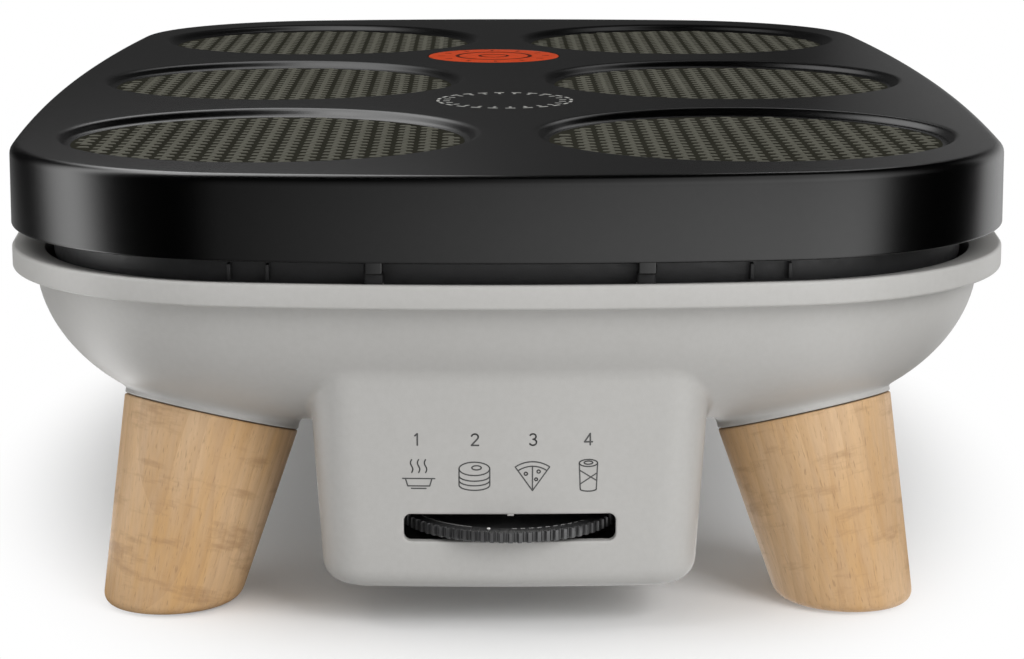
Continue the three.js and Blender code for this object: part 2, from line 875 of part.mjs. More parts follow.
// Bottom cover: a flat plate in the box's rebate, with the cup that the spindle's lower end turns in.
function controlBoxCover() {
  const coverTopZ = boxBottomZ + coverThickness;
  const plate = slab(coverOutline(coverMargin + touchGap), boxBottomZ, coverTopZ);
  const cup = cylinder(pivotCupRadius, coverTopZ - bite, coverTopZ + pivotCupHeight, midRound);
  const bore = cylinder(spindleRadius + touchGap, coverTopZ, coverTopZ + pivotCupHeight + cutOverrun, midRound);
  cup.translate(0, wheelY, 0);
  bore.translate(0, wheelY, 0);
  const holes = coverScrewPlaces().map(({ x, y }) => cylinder(
    screwRadius + touchGap,
    boxBottomZ - cutOverrun,
    coverTopZ + cutOverrun,
    smallRound,
  ).translate(x, y, 0));
  return cut(join(plate, cup), bore, ...holes);
}

// Thumb wheel: a ribbed rim on a thin web with a hub; its own frame has the axis on Z at real heights.
function thumbWheel() {
  const ribbed = new THREE.Shape();
  const stepsPerRib = 2;
  for (let i = 0; i < wheelRibs * stepsPerRib; i += 1) {
    const angle = i / (wheelRibs * stepsPerRib) * Math.PI * 2;
    const radius = i % stepsPerRib === 0 ? wheelRadius : wheelRadius - wheelRibDepth;
    const x = radius * Math.cos(angle);
    const y = radius * Math.sin(angle);
    if (i === 0) ribbed.moveTo(x, y);
    else ribbed.lineTo(x, y);
  }
  ribbed.closePath();
  const ribTopZ = wheelBottomZ + wheelRibHeight;
  const rimTop = ribTopZ + wheelRimRise;
  const band = slab(ribbed, wheelBottomZ, ribTopZ);
  const cap = turned([
    [0, ribTopZ - wheelRimRise],
    [wheelRadius - wheelRibDepth - touchGap, ribTopZ - wheelRimRise],
    [wheelRadius - wheelRibDepth - touchGap, ribTopZ],
    [wheelRimRadius, rimTop],
    [0, rimTop],
  ], bigRound);
  const dish = turned([
    [wheelHubRadius, wheelWebTopZ],
    [wheelRimRadius - wheelRimRise, wheelWebTopZ],
    [wheelRimRadius - wheelRimRise, rimTop + cutOverrun],
    [wheelHubRadius, rimTop + cutOverrun],
    [wheelHubRadius, wheelWebTopZ],
  ], bigRound);
  const under = turned([
    [wheelHubRadius, wheelBottomZ - cutOverrun],
    [wheelRimRadius - wheelRimRise, wheelBottomZ - cutOverrun],
    [wheelRimRadius - wheelRimRise, wheelWebTopZ - wheelWebThickness],
    [wheelHubRadius, wheelWebTopZ - wheelWebThickness],
    [wheelHubRadius, wheelBottomZ - cutOverrun],
  ], bigRound);
  const hub = cylinder(wheelHubRadius + touchGap, wheelBottomZ, wheelBottomZ + wheelHubHeight, midRound);
  const bore = cylinder(spindleRadius + touchGap, wheelBottomZ - cutOverrun, spindleTopZ, midRound);
  return cut(join(cut(join(band, cap), dish, under), hub), bore);
}

function wheelSpindle() {
  const lowZ = boxBottomZ + coverThickness + touchGap;
  return cylinder(spindleRadius, lowZ, spindleTopZ, midRound);
}

// Thermostat: a ceramic-bodied switch with a collar round the spindle and two blade terminals.
function thermostatBody() {
  const body = block(
    -thermostatHalfX,
    thermostatHalfX,
    thermostatFrontY,
    thermostatBackY,
    thermostatBottomZ,
    thermostatTopZ,
  );
  const collarLowZ = thermostatBottomZ - thermostatCollarHeight;
  const collar = cylinder(thermostatCollarRadius, collarLowZ, thermostatBottomZ + bite, midRound);
  const bore = cylinder(spindleRadius + touchGap, collarLowZ - cutOverrun, spindleTopZ + touchGap, midRound);
  collar.translate(0, wheelY, 0);
  bore.translate(0, wheelY, 0);
  return cut(join(body, collar), bore);
}

function thermostatStrap() {
  const half = strapPostX + strapPostRadius;
  const outline = roundedRectangle(-half, half, wheelY - strapHalfDepth, wheelY + strapHalfDepth, strapPostRadius);
  const bar = slab(outline, strapZ, strapZ + strapThickness);
  const holes = [-1, 1].map((side) => cylinder(
    screwRadius + touchGap,
    strapZ - cutOverrun,
    strapZ + cutOverrun,
    smallRound,
  ).translate(side * strapPostX, wheelY, 0));
  return cut(bar, ...holes);
}

// Sensor rod, its guide in the heat shield's floor and the spring that lifts it. Their axis is on Z.
function sensorRod() {
  const headTopZ = deckBottomZ - touchGap;
  const tipZ = strapZ + sensorTravel;
  return turned([
    [0, tipZ],
    [sensorRodRadius, tipZ],
    [sensorRodRadius, headTopZ - sensorHeadHeight],
    [sensorHeadRadius, headTopZ - sensorHeadHeight],
    [sensorHeadRadius, headTopZ],
    [0, headTopZ],
  ], midRound);
}

function sensorGuide() {
  const flangeZ = shieldFloorTopZ + touchGap;
  const bore = sensorRodRadius + touchGap;
  return turned([
    [bore, shieldFloorZ - guideBelow],
    [guideRadius, shieldFloorZ - guideBelow],
    [guideRadius, flangeZ],
    [guideFlangeRadius, flangeZ],
    [guideFlangeRadius, flangeZ + guideFlangeHeight],
    [guideRadius, flangeZ + guideFlangeHeight],
    [guideRadius, flangeZ + guideAbove],
    [bore, flangeZ + guideAbove],
    [bore, shieldFloorZ - guideBelow],
  ], midRound);
}

function sensorSpring() {
  const lowZ = shieldFloorTopZ + guideAbove + 2 * touchGap + springWire;
  const highZ = deckBottomZ - 2 * touchGap - sensorHeadHeight - springWire;
  const stations = [];
  for (let i = 0; i <= springCurls * stepsPerCurl; i += 1) {
    const turn = i / stepsPerCurl * Math.PI * 2;
    const z = lowZ + (highZ - lowZ) * i / (springCurls * stepsPerCurl);
    stations.push(new THREE.Vector3(springRadius * Math.cos(turn), springRadius * Math.sin(turn), z));
  }
  return tube(stations, springWire, tubeSides);
}

// Sheet pan with an upturned wall, from its inset, floor height, top height, corner radius and sheet.
function pan(inset, floorZ, topZ, bend, sheet) {
  const bendShares = [[1, 0], [0.3, 0.3], [0, 1]];
  const outside = bendShares.map(([inward, up]) => [inset + inward * bend, floorZ + up * bend]);
  const inside = outside.map(([edge, z]) => [edge + sheet, z + sheet]);
  const body = planLoft([...outside, [inset, topZ]]);
  const hollow = planLoft([...inside, [inset + sheet, topZ + cutOverrun]]);
  return cut(body, hollow);
}

function heatShield() {
  const shell = pan(shieldInset, shieldFloorZ, shieldTopZ, shieldCornerRadius, shieldWall);
  const ribs = [];
  for (const place of corners) {
    for (const ribX of [shieldRibInnerX, shieldRibOuterX]) {
      const wallY = -frontEdgeY(ribX, shieldInset);
      const innerY = wallY - shieldWall / 2;
      const outerY = wallY + shieldRibReach;
      const lowX = place.x * ribX - shieldRibWidth / 2;
      const lowY = place.y > 0 ? innerY : -outerY;
      const highY = place.y > 0 ? outerY : -innerY;
      const ribLowZ = shieldTopZ - shieldRibHeight;
      const ribTopZ = shieldTopZ - shieldWall / 2;
      ribs.push(block(lowX, lowX + shieldRibWidth, lowY, highY, ribLowZ + shieldCornerRadius, ribTopZ));
    }
  }
  const through = (radius, x, y, segments) => cylinder(
    radius,
    shieldFloorZ - cutOverrun,
    shieldFloorTopZ + cutOverrun,
    segments,
  ).translate(x, y, 0);
  return cut(
    join(shell, ...ribs),
    through(guideRadius + touchGap, 0, sensorY, midRound),
    ...[-1, 1].map((side) => through(terminalHoleRadius, side * elementInnerX, elementTerminalY, midRound)),
    ...corners.map((place) => through(
      shieldScrewRadius + touchGap,
      place.x * shieldPostX,
      place.y * shieldPostY,
      smallRound,
    )),
  );
}

function reflectorTray() {
  const topZ = reflectorTopZ + reflectorLip;
  const shell = pan(reflectorInset, reflectorFloorZ, topZ, reflectorWall * 2, reflectorWall);
  const through = (radius, x, y) => cylinder(
    radius,
    reflectorFloorZ - cutOverrun,
    reflectorTopZ + cutOverrun,
    midRound,
  ).translate(x, y, 0);
  return cut(
    shell,
    through(sensorHeadRadius + touchGap, 0, sensorY),
    ...[-1, 1].map((side) => through(terminalHoleRadius, side * elementInnerX, elementTerminalY)),
  );
}

function reflectorPost() {
  const lowZ = shieldFloorTopZ + touchGap;
  const highZ = reflectorFloorZ - touchGap;
  return turned([
    [reflectorPostBore, lowZ],
    [reflectorPostRadius, lowZ],
    [reflectorPostRadius, highZ],
    [reflectorPostBore, highZ],
    [reflectorPostBore, lowZ],
  ], smallRound);
}

// Heating element: up through the shield on one side, round both columns of recesses, and down again.
function elementStations() {
  const turnX = elementInnerX + elementTurnRadius;
  const stepsPerTurn = 8;
  const half = [];
  half.push(new THREE.Vector3(elementInnerX, elementTerminalY, elementEndZ));
  for (let i = 0; i <= 4; i += 1) {
    const angle = i / 4 * Math.PI / 2;
    half.push(new THREE.Vector3(
      elementInnerX,
      elementTerminalY + elementBend * (1 - Math.cos(angle)),
      elementZ - elementBend * (1 - Math.sin(angle)),
    ));
  }
  for (let i = 0; i <= stepsPerTurn; i += 1) {
    const angle = Math.PI - i / stepsPerTurn * Math.PI;
    half.push(new THREE.Vector3(
      turnX + elementTurnRadius * Math.cos(angle),
      elementBackY + elementTurnRadius * Math.sin(angle),
      elementZ,
    ));
  }
  for (let i = 0; i <= stepsPerTurn / 2; i += 1) {
    const angle = -i / stepsPerTurn * Math.PI;
    half.push(new THREE.Vector3(
      turnX + elementTurnRadius * Math.cos(angle),
      elementCornerY + elementTurnRadius * Math.sin(angle),
      elementZ,
    ));
  }
  const mirrored = half.map((point) => new THREE.Vector3(-point.x, point.y, point.z)).reverse();
  return [...half, ...mirrored];
}

function heatingElement() {
  const sheath = tube(elementStations(), elementRadius, smallRound);
  const pins = [-1, 1].map((side) => cylinder(
    terminalPinRadius,
    elementEndZ - terminalPinLength,
    elementEndZ + bite,
    smallRound,
  ).translate(side * elementInnerX, elementTerminalY, 0));
  return join(sheath, ...pins);
}

// Saddle that holds one run of the element over the tray; its own frame is under the run.
function elementClip() {
  const body = block(-clipHalfX, clipHalfX, -clipHalfY, clipHalfY, reflectorTopZ + touchGap, elementZ);
  const groove = alongY(cylinder(elementRadius + touchGap, -clipHalfX - bite, clipHalfX + bite, midRound));
  return cut(body, groove.translate(0, 0, elementZ));
}

const clipPlaces = [
  { name: 'outer_left_front', x: -elementOuterX, y: -clipOuterY },
  { name: 'outer_left_rear', x: -elementOuterX, y: clipOuterY },
  { name: 'outer_right_front', x: elementOuterX, y: -clipOuterY },
  { name: 'outer_right_rear', x: elementOuterX, y: clipOuterY },
  { name: 'inner_left', x: -elementInnerX, y: 0 },
  { name: 'inner_right', x: elementInnerX, y: 0 },
];

// Wiring: tubes on smooth curves between the terminals.
function lead(points, steps) {
  const curve = new THREE.CatmullRomCurve3(points.map((point) => new THREE.Vector3(...point)));
  return tube(curve.getSpacedPoints(steps), leadRadius, tubeSides);
}

const leadFloorZ = innerFloorZ + touchGap + leadRadius;
const blockFrontY = terminalBlockY - terminalBlockHalfY;
const blockLowZ = innerFloorZ + touchGap;
const leadEndGap = touchGap;
const leadSpacing = terminalBlockHalfX / 2;
const leadBlockZ = blockLowZ + terminalBlockHeight / 2;
const pinTipZ = elementEndZ - terminalPinLength;
const boxEntryY = -boxBackY - shellWall - 2 * leadRadius;
const thermostatSideX = thermostatHalfX + leadEndGap;
const thermostatLeadY = thermostatBackY - leadSpacing;
const thermostatLeadZ = thermostatBottomZ + thermostatHeight / 2;
const leadSweep = 4 * leadRadius;

function leadLive() {
  return lead([
    [-leadSpacing, blockFrontY - leadEndGap, leadBlockZ],
    [-leadSpacing, blockFrontY - 2 * leadSweep, leadBlockZ],
    [-2 * leadSpacing, blockFrontY - 4 * leadSweep, leadFloorZ + leadRadius],
    [-2 * leadSpacing - leadSweep, blockFrontY - 7 * leadSweep, leadFloorZ + leadRadius / 4],
    [-3 * leadSpacing, blockFrontY / 3, leadFloorZ],
    [-3 * leadSpacing, 0, leadFloorZ],
    [-3 * leadSpacing, -boxBackY + leadSweep, leadFloorZ],
    [-3 * leadSpacing - leadSweep, boxEntryY - leadSweep, leadFloorZ],
    [-thermostatSideX - 2 * leadSweep, thermostatLeadY, thermostatLeadZ],
    [-thermostatSideX - leadSweep, thermostatLeadY, thermostatLeadZ],
    [-thermostatSideX, thermostatLeadY, thermostatLeadZ],
  ], 28);
}

function leadNeutral() {
  return lead([
    [leadSpacing, blockFrontY - leadEndGap, leadBlockZ],
    [leadSpacing, blockFrontY - 2 * leadSweep, leadBlockZ],
    [2 * leadSpacing, blockFrontY - 4 * leadSweep, leadFloorZ + leadRadius],
    [2 * leadSpacing + leadSweep, blockFrontY - 7 * leadSweep, leadFloorZ + leadRadius / 4],
    [fuseX, blockFrontY / 3, leadFloorZ],
    [fuseX, 0, leadFloorZ],
    [fuseX, fuseY + fuseLength / 2 + 2 * leadSweep, innerFloorZ + touchGap + fuseRadius],
    [fuseX, fuseY + fuseLength / 2 + leadEndGap, innerFloorZ + touchGap + fuseRadius],
  ], 20);
}

function leadReturn() {
  return lead([
    [fuseX, fuseY - fuseLength / 2 - leadEndGap, innerFloorZ + touchGap + fuseRadius],
    [fuseX, fuseY - fuseLength / 2 - leadSweep, innerFloorZ + touchGap + fuseRadius],
    [elementInnerX, elementTerminalY + 2 * leadSweep, leadFloorZ + 2 * leadSweep],
    [elementInnerX, elementTerminalY, pinTipZ - leadSweep],
    [elementInnerX, elementTerminalY, pinTipZ - leadEndGap],
  ], 16);
}

function leadSwitched() {
  return lead([
    [thermostatSideX, thermostatLeadY, thermostatLeadZ],
    [thermostatSideX + leadSweep, thermostatLeadY, thermostatLeadZ],
    [elementInnerX - 2 * leadSweep, boxEntryY - leadSweep, leadFloorZ],
    [0, -boxBackY + 2 * leadSweep, leadFloorZ + leadSweep],
    [-elementInnerX, elementTerminalY + leadSweep, leadFloorZ + 2 * leadSweep],
    [-elementInnerX, elementTerminalY, pinTipZ - leadSweep],
    [-elementInnerX, elementTerminalY, pinTipZ - leadEndGap],
  ], 24);
}

function leadEarth() {
  const studY = blockFrontY - 6 * leadSweep;
  return lead([
    [0, blockFrontY - leadEndGap, leadBlockZ],
    [0, blockFrontY - 2 * leadSweep, leadBlockZ],
    [0, studY, leadBlockZ + 2 * leadSweep],
    [0, studY, shieldFloorZ - leadSweep],
    [0, studY, shieldFloorZ - leadEndGap],
  ], 16);
}

function terminalBlock() {
  const lowY = terminalBlockY - terminalBlockHalfY;
  const highY = terminalBlockY + terminalBlockHalfY;
  const highZ = blockLowZ + terminalBlockHeight;
  return block(-terminalBlockHalfX, terminalBlockHalfX, lowY, highY, blockLowZ, highZ);
}

function thermalFuse() {
  const body = alongY(cylinder(fuseRadius, -fuseLength / 2, fuseLength / 2, smallRound));
  return body.translate(fuseX, fuseY, innerFloorZ + touchGap + fuseRadius);
}

// Cable bush: a flanged sleeve through the rear wall.
function cordGland() {
  const seat = glandSeatY + touchGap;
  const sleeve = turned([
    [glandBoreRadius, seat - glandNoseLength],
    [glandBodyRadius, seat - glandNoseLength],
    [glandBodyRadius, seat],
    [glandFlangeRadius, seat],
    [glandFlangeRadius, seat + glandFlangeThickness],
    [glandBoreRadius, seat + glandFlangeThickness],
    [glandBoreRadius, seat - glandNoseLength],
  ], midRound);
  return alongY(sleeve).translate(0, 0, glandZ);
}

const finishes = {
  castPlate: { color: 0x303030, roughness: 0.42, metalness: 0.3 },
  indicator: { color: 0xd8401c, roughness: 0.5, metalness: 0 },
  shell: { color: 0xbfbebb, roughness: 0.5, metalness: 0 },
  wood: { color: 0xc9a06c, roughness: 0.6, metalness: 0 },
  rubber: { color: 0x2a2a2a, roughness: 0.8, metalness: 0 },
  wheel: { color: 0x1c1c1c, roughness: 0.45, metalness: 0 },
  steel: { color: 0xa8a8a8, roughness: 0.35, metalness: 0.9 },
  blackSteel: { color: 0x1a1a1a, roughness: 0.55, metalness: 0.4 },
  ceramic: { color: 0xe6e0d2, roughness: 0.7, metalness: 0 },
  sleeving: { color: 0x8a8f96, roughness: 0.7, metalness: 0 },
};

const crepeMaker = new THREE.Group();

function addPiece(parent, name, geometry, finish) {
  const shown = geometry.index ? geometry.toNonIndexed() : geometry;
  shown.computeVertexNormals();
  const mesh = new THREE.Mesh(shown, new THREE.MeshStandardMaterial(finishes[finish]));
  mesh.name = name;
  parent.add(mesh);
  return mesh;
}

addPiece(crepeMaker, 'base_shell', baseShell(), 'shell');
addPiece(crepeMaker, 'control_box_cover', controlBoxCover(), 'shell');
addPiece(crepeMaker, 'cooking_plate', cookingPlate(), 'castPlate');
addPiece(crepeMaker, 'heat_indicator_disc', heatIndicator(), 'indicator');
addPiece(crepeMaker, 'heat_shield', heatShield(), 'blackSteel');
addPiece(crepeMaker, 'reflector_tray', reflectorTray(), 'steel');
addPiece(crepeMaker, 'heating_element', heatingElement(), 'steel');

for (const { name, x, y } of coverScrewPlaces()) {
  const geometry = panScrew(screwRadius, screwHeadRadius, screwHeadHeight, screwLength);
  const screw = addPiece(crepeMaker, `cover_screw_${name}`, geometry, 'steel');
  screw.position.set(x, y, boxBottomZ - touchGap);
}

for (const place of corners) {
  addPiece(crepeMaker, `leg_${place.name}`, leg(place), 'wood');
  addPiece(crepeMaker, `foot_pad_${place.name}`, footPad(place), 'rubber');
  addPiece(crepeMaker, `plate_pad_${place.name}`, restPad(place), 'rubber');
  const jointGroup = new THREE.Group();
  jointGroup.applyMatrix4(legFrame(place));
  addPiece(jointGroup, `leg_bolt_${place.name}`, legBolt(), 'steel');
  crepeMaker.add(jointGroup);
  const screwShape = panScrew(
    shieldScrewRadius,
    shieldScrewHeadRadius,
    shieldScrewHeadHeight,
    shieldScrewLength - touchGap,
  );
  const screw = addPiece(crepeMaker, `shield_screw_${place.name}`, screwShape, 'steel');
  screw.rotation.x = Math.PI;
  screw.position.set(place.x * shieldPostX, place.y * shieldPostY, shieldFloorTopZ + touchGap);
  const post = addPiece(crepeMaker, `reflector_post_${place.name}`, reflectorPost(), 'steel');
  post.position.set(place.x * reflectorPostX, place.y * reflectorPostY, 0);
}

for (const { name, x, y } of clipPlaces) {
  const clip = addPiece(crepeMaker, `element_clip_${name}`, elementClip(), 'steel');
  clip.position.set(x, y, 0);
}

const controls = new THREE.Group();
controls.position.set(0, wheelY, 0);
crepeMaker.add(controls);
addPiece(controls, 'thumb_wheel', thumbWheel(), 'wheel');
addPiece(controls, 'wheel_spindle', wheelSpindle(), 'steel');

addPiece(crepeMaker, 'thermostat_body', thermostatBody(), 'ceramic');
addPiece(crepeMaker, 'thermostat_strap', thermostatStrap(), 'steel');
[-1, 1].forEach((side, order) => {
  const screwShape = panScrew(screwRadius, screwHeadRadius, screwHeadHeight, screwLength * 2 - touchGap);
  const screw = addPiece(crepeMaker, `strap_screw_${['left', 'right'][order]}`, screwShape, 'steel');
  screw.rotation.x = Math.PI;
  screw.position.set(side * strapPostX, wheelY, strapZ + strapThickness + touchGap);
});

const sensor = new THREE.Group();
sensor.position.set(0, sensorY, 0);
crepeMaker.add(sensor);
addPiece(sensor, 'sensor_rod', sensorRod(), 'steel');
addPiece(sensor, 'sensor_guide', sensorGuide(), 'ceramic');
addPiece(sensor, 'sensor_spring', sensorSpring(), 'steel');

addPiece(crepeMaker, 'terminal_block', terminalBlock(), 'ceramic');
addPiece(crepeMaker, 'thermal_fuse', thermalFuse(), 'steel');
addPiece(crepeMaker, 'cord_gland', cordGland(), 'rubber');
addPiece(crepeMaker, 'lead_live', leadLive(), 'sleeving');
addPiece(crepeMaker, 'lead_neutral', leadNeutral(), 'sleeving');
addPiece(crepeMaker, 'lead_return', leadReturn(), 'sleeving');
addPiece(crepeMaker, 'lead_switched', leadSwitched(), 'sleeving');
addPiece(crepeMaker, 'lead_earth', leadEarth(), 'sleeving');

export default crepeMaker;
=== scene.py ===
import math

import bmesh
import bpy
import numpy as np
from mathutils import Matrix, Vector
from mathutils.geometry import delaunay_2d_cdt


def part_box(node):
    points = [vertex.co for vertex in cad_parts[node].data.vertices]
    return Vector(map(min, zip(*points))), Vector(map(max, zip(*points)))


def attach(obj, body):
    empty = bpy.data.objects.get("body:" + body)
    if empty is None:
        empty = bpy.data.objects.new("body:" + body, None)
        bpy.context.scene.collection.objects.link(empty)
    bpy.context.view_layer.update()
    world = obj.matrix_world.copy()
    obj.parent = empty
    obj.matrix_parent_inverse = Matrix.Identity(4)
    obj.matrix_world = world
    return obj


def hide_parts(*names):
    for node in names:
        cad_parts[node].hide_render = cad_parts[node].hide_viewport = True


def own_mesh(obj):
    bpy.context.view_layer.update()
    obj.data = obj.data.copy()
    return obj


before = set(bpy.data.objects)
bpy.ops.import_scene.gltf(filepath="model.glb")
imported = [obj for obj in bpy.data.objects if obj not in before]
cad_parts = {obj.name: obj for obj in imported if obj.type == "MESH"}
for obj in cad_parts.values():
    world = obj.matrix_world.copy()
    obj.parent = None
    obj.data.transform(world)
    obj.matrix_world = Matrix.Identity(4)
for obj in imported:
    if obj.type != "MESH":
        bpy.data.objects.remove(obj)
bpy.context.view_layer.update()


# Camera: a long lens in front of the controls, a hand's breadth higher than the plate and turned down a
# little. The photograph has no shift and no blur, so neither has this.
def link(obj):
    """Puts an object into the scene."""
    bpy.context.scene.collection.objects.link(obj)
    return obj


camera_data = bpy.data.cameras.new("camera")
camera_data.sensor_width, camera_data.lens = 36.0, 96.747
camera_data.clip_start, camera_data.clip_end = 0.01, 50.0
camera = link(bpy.data.objects.new("camera", camera_data))
camera.location = (-0.0081028, -0.9518259, 0.2334512)
camera.rotation_euler = (math.pi / 2 - 0.1993, 0.0, -0.0119)
bpy.context.scene.camera = camera
bpy.context.scene.view_settings.view_transform = "Standard"

# Studio: white paper under white air, and five broad soft lamps, three in front and two behind. The paper
# keeps the object's shadow close to it; farther off, the camera sees it as plain white. From below, the
# camera looks through it.
floor_half = 8.0
paper_seen, paper_matt, paper_strength = 1.0, 0.68, 1.0
shadow_oval = (0.17, 0.30, 1.0)
paper_starts, paper_whole = 0.72, 1.06
air_strength = 0.555


def new_mesh(name, points, faces):
    """A mesh of points and of faces that list them by number."""
    mesh = bpy.data.meshes.new(name)
    mesh.from_pydata(np.asarray(points).tolist(), [], faces)
    return mesh


def add_node(tree, kind, inputs=None, output=0, **settings):
    """Adds a shader node, gives its settings, feeds or sets its inputs, and returns one of its outputs."""
    node = tree.nodes.new(kind if kind.startswith("NodeGroup") else "ShaderNode" + kind)
    for name, value in settings.items():
        setattr(node, name, value)
    for name, value in (inputs or {}).items():
        if isinstance(value, bpy.types.NodeSocket):
            tree.links.new(value, node.inputs[name])
        else:
            node.inputs[name].default_value = value
    return node.outputs[output] if node.outputs else node


def maths(tree, operation, *values):
    """One arithmetic node on numbers or sockets."""
    return add_node(tree, "Math", dict(enumerate(values)), operation=operation)


def ranged(tree, value, low=0.0, high=1.0, to_low=0.0, to_high=1.0, **settings):
    """Maps low to to_low and high to to_high, and what lies between in proportion."""
    return add_node(tree, "MapRange", dict(enumerate((value, low, high, to_low, to_high))), **settings)


def seen_directly(tree):
    """1 for rays that come straight from the camera or by way of a mirror or glass, 0 for the rest."""
    glossy, through, direct = (add_node(tree, "LightPath", output="Is %s Ray" % kind)
                               for kind in ("Glossy", "Transmission", "Camera"))
    return maths(tree, "MAXIMUM", maths(tree, "MAXIMUM", glossy, through), direct)


def new_material(name):
    """A material with its node tree and its Principled shader."""
    material = bpy.data.materials.new(name)
    material.use_nodes = True
    return material, material.node_tree, material.node_tree.nodes["Principled BSDF"]


def stage_material(name):
    """An empty material for a thing of the studio, with its node tree."""
    material, tree, _ = new_material(name)
    tree.nodes.clear()
    return material, tree


def paper_material():
    """White paper: matt inside an oval round the object, plain white of strength 1 outside it, and clear
    from its underside."""
    material, tree = stage_material("studio_paper")
    place = add_node(tree, "TexCoord", output="Object")
    oval = add_node(tree, "VectorMath", {0: place, 1: shadow_oval}, operation="DIVIDE")
    reach = add_node(tree, "VectorMath", {0: oval}, "Value", operation="LENGTH")
    far = ranged(tree, reach, paper_starts, paper_whole, interpolation_type="SMOOTHSTEP")
    seen = seen_directly(tree)
    matt = add_node(tree, "BsdfDiffuse", {"Color": ranged(tree, seen, 0, 1, paper_matt, paper_seen)})
    shining = add_node(tree, "Emission", {"Strength": paper_strength})
    top = add_node(tree, "MixShader", {0: maths(tree, "MULTIPLY", far, seen), 1: matt, 2: shining})
    sides = add_node(tree, "MixShader", {0: add_node(tree, "NewGeometry", output="Backfacing"), 1: top,
                                         2: add_node(tree, "BsdfTransparent")})
    add_node(tree, "OutputMaterial", {"Surface": sides})
    return material


floor_corners = [(x * floor_half, y * floor_half, 0) for x, y in ((-1, -1), (1, -1), (1, 1), (-1, 1))]
floor_mesh = new_mesh("studio_floor", floor_corners, [(0, 1, 2, 3)])
floor_mesh.materials.append(paper_material())
studio_floor = link(bpy.data.objects.new("studio_floor", floor_mesh))
studio_floor.visible_glossy = False

bpy.context.scene.world = bpy.data.worlds.new("studio_air")
bpy.context.scene.world.use_nodes = True
air = bpy.context.scene.world.node_tree
air.nodes.clear()
air_light, air_paper = (add_node(air, "Background", {"Strength": strength, "Color": (1.0, 1.0, 1.0, 1.0)})
                        for strength in (air_strength, paper_strength))
air_mix = add_node(air, "MixShader", {0: seen_directly(air), 1: air_light, 2: air_paper})
add_node(air, "OutputWorld", {"Surface": air_mix})

# Each lamp: its place, the target it faces, its width and height, and its power in watts.
soft_lamps = {"lamp_front_right": ((0.95, -1.25, 0.95), (0.0, -0.1, 0.05), 0.9, 0.9, 12.6),
              "lamp_front_low": ((-0.3, -1.5, 0.2), (0.0, -0.1, 0.04), 1.4, 0.4, 1.7),
              "lamp_left_above": ((-0.8, -0.4, 1.5), (0.0, -0.1, 0.05), 0.8, 0.8, 4.8),
              "lamp_behind_above": ((0.1, 1.2, 1.5), (0.0, 0.1, 0.1), 1.4, 0.8, 6.0),
              "lamp_behind_low": ((0.4, 1.3, 0.4), (0.0, 0.1, 0.02), 1.0, 0.5, 1.8)}
for lamp_name, (place, target, width, height, power) in soft_lamps.items():
    lamp_data = bpy.data.lights.new(lamp_name, "AREA")
    lamp_data.shape = "RECTANGLE"
    lamp_data.size, lamp_data.size_y, lamp_data.energy = width, height, power
    lamp = link(bpy.data.objects.new(lamp_name, lamp_data))
    lamp.location = place
    lamp.rotation_euler = (Vector(target) - Vector(place)).to_track_quat("-Z", "Y").to_euler()
    lamp.visible_glossy = False

# What shiny things see: soft light panels on a dark oval dome close round the object. Only glossy rays see
# the dome, and they see it in place of the paper and the lamps, so it gives no light to the scene.
dome_reach = np.array([0.32, 0.42, 0.5])
dome_step, dome_foot, dome_peak = 3.0, 0.01, 89.9
# Each panel: bearings in degrees to the right of straight ahead and the softness of its ends, heights in
# degrees and the softness of its edges, then its strength at the first bearing and at the last.
dome_panels = {"left_strip": (-72, -55.5, 12, -10, 60, 15, 1.0, 5.7),
               "left_high": (186, 300, 20, 43, 74, 14, 1.45, 5.0),
               "front": (-32, 44, 8, -7, 22, 38, 0.0, 2.5),
               "front_high": (-6, 50, 18, 20, 50, 5, 0.15, 1.4),
               "right_rear": (78, 150, 8, -10, 24, 20, 1.3, 0.05),
               "rear": (155, 260, 60, -12, 9, 20, 0.2, 0.42),
               "rear_faint": (150, 250, 40, 12, 42, 10, 0.05, 0.05),
               "right_far": (120, 152, 12, 38, 50, 8, 1.1, 1.0)}


def eased(ratio):
    """A share from 0 to 1 with soft ends: r r (3 - 2 r) of the clamped ratio."""
    ratio = np.clip(ratio, 0, 1)
    return ratio * ratio * (3 - 2 * ratio)


def band(value, low, high, soft):
    """1 between two limits and 0 outside them, each limit eased over its softness."""
    return eased((value - low) / soft + 0.5) * (1 - eased((value - high) / soft + 0.5))


def panel_glow(bearing, height):
    """The summed strength of the panels along a level ring of the dome."""
    glow = np.zeros(len(bearing))
    for start, end, soft, low, high, soft_up, first, last in dome_panels.values():
        middle = (start + end) / 2
        along = (bearing - middle + 180) % 360 - 180 + middle
        share = np.clip((along - start) / (end - start), 0, 1)
        glow += (band(along, start, end, soft) * band(height, low, high, soft_up)
                 * (first + (last - first) * share))
    return glow


def strip(rows, closed=True):
    """Quads between rows of points, as (points, faces)."""
    rows = np.asarray(rows)
    count = rows.shape[1]
    low = np.arange(count if closed else count - 1)
    high = (low + 1) % count
    faces = [np.column_stack([low, high, high + count, low + count]) + level * count
             for level in range(len(rows) - 1)]
    return rows.reshape(-1, 3), np.vstack(faces)


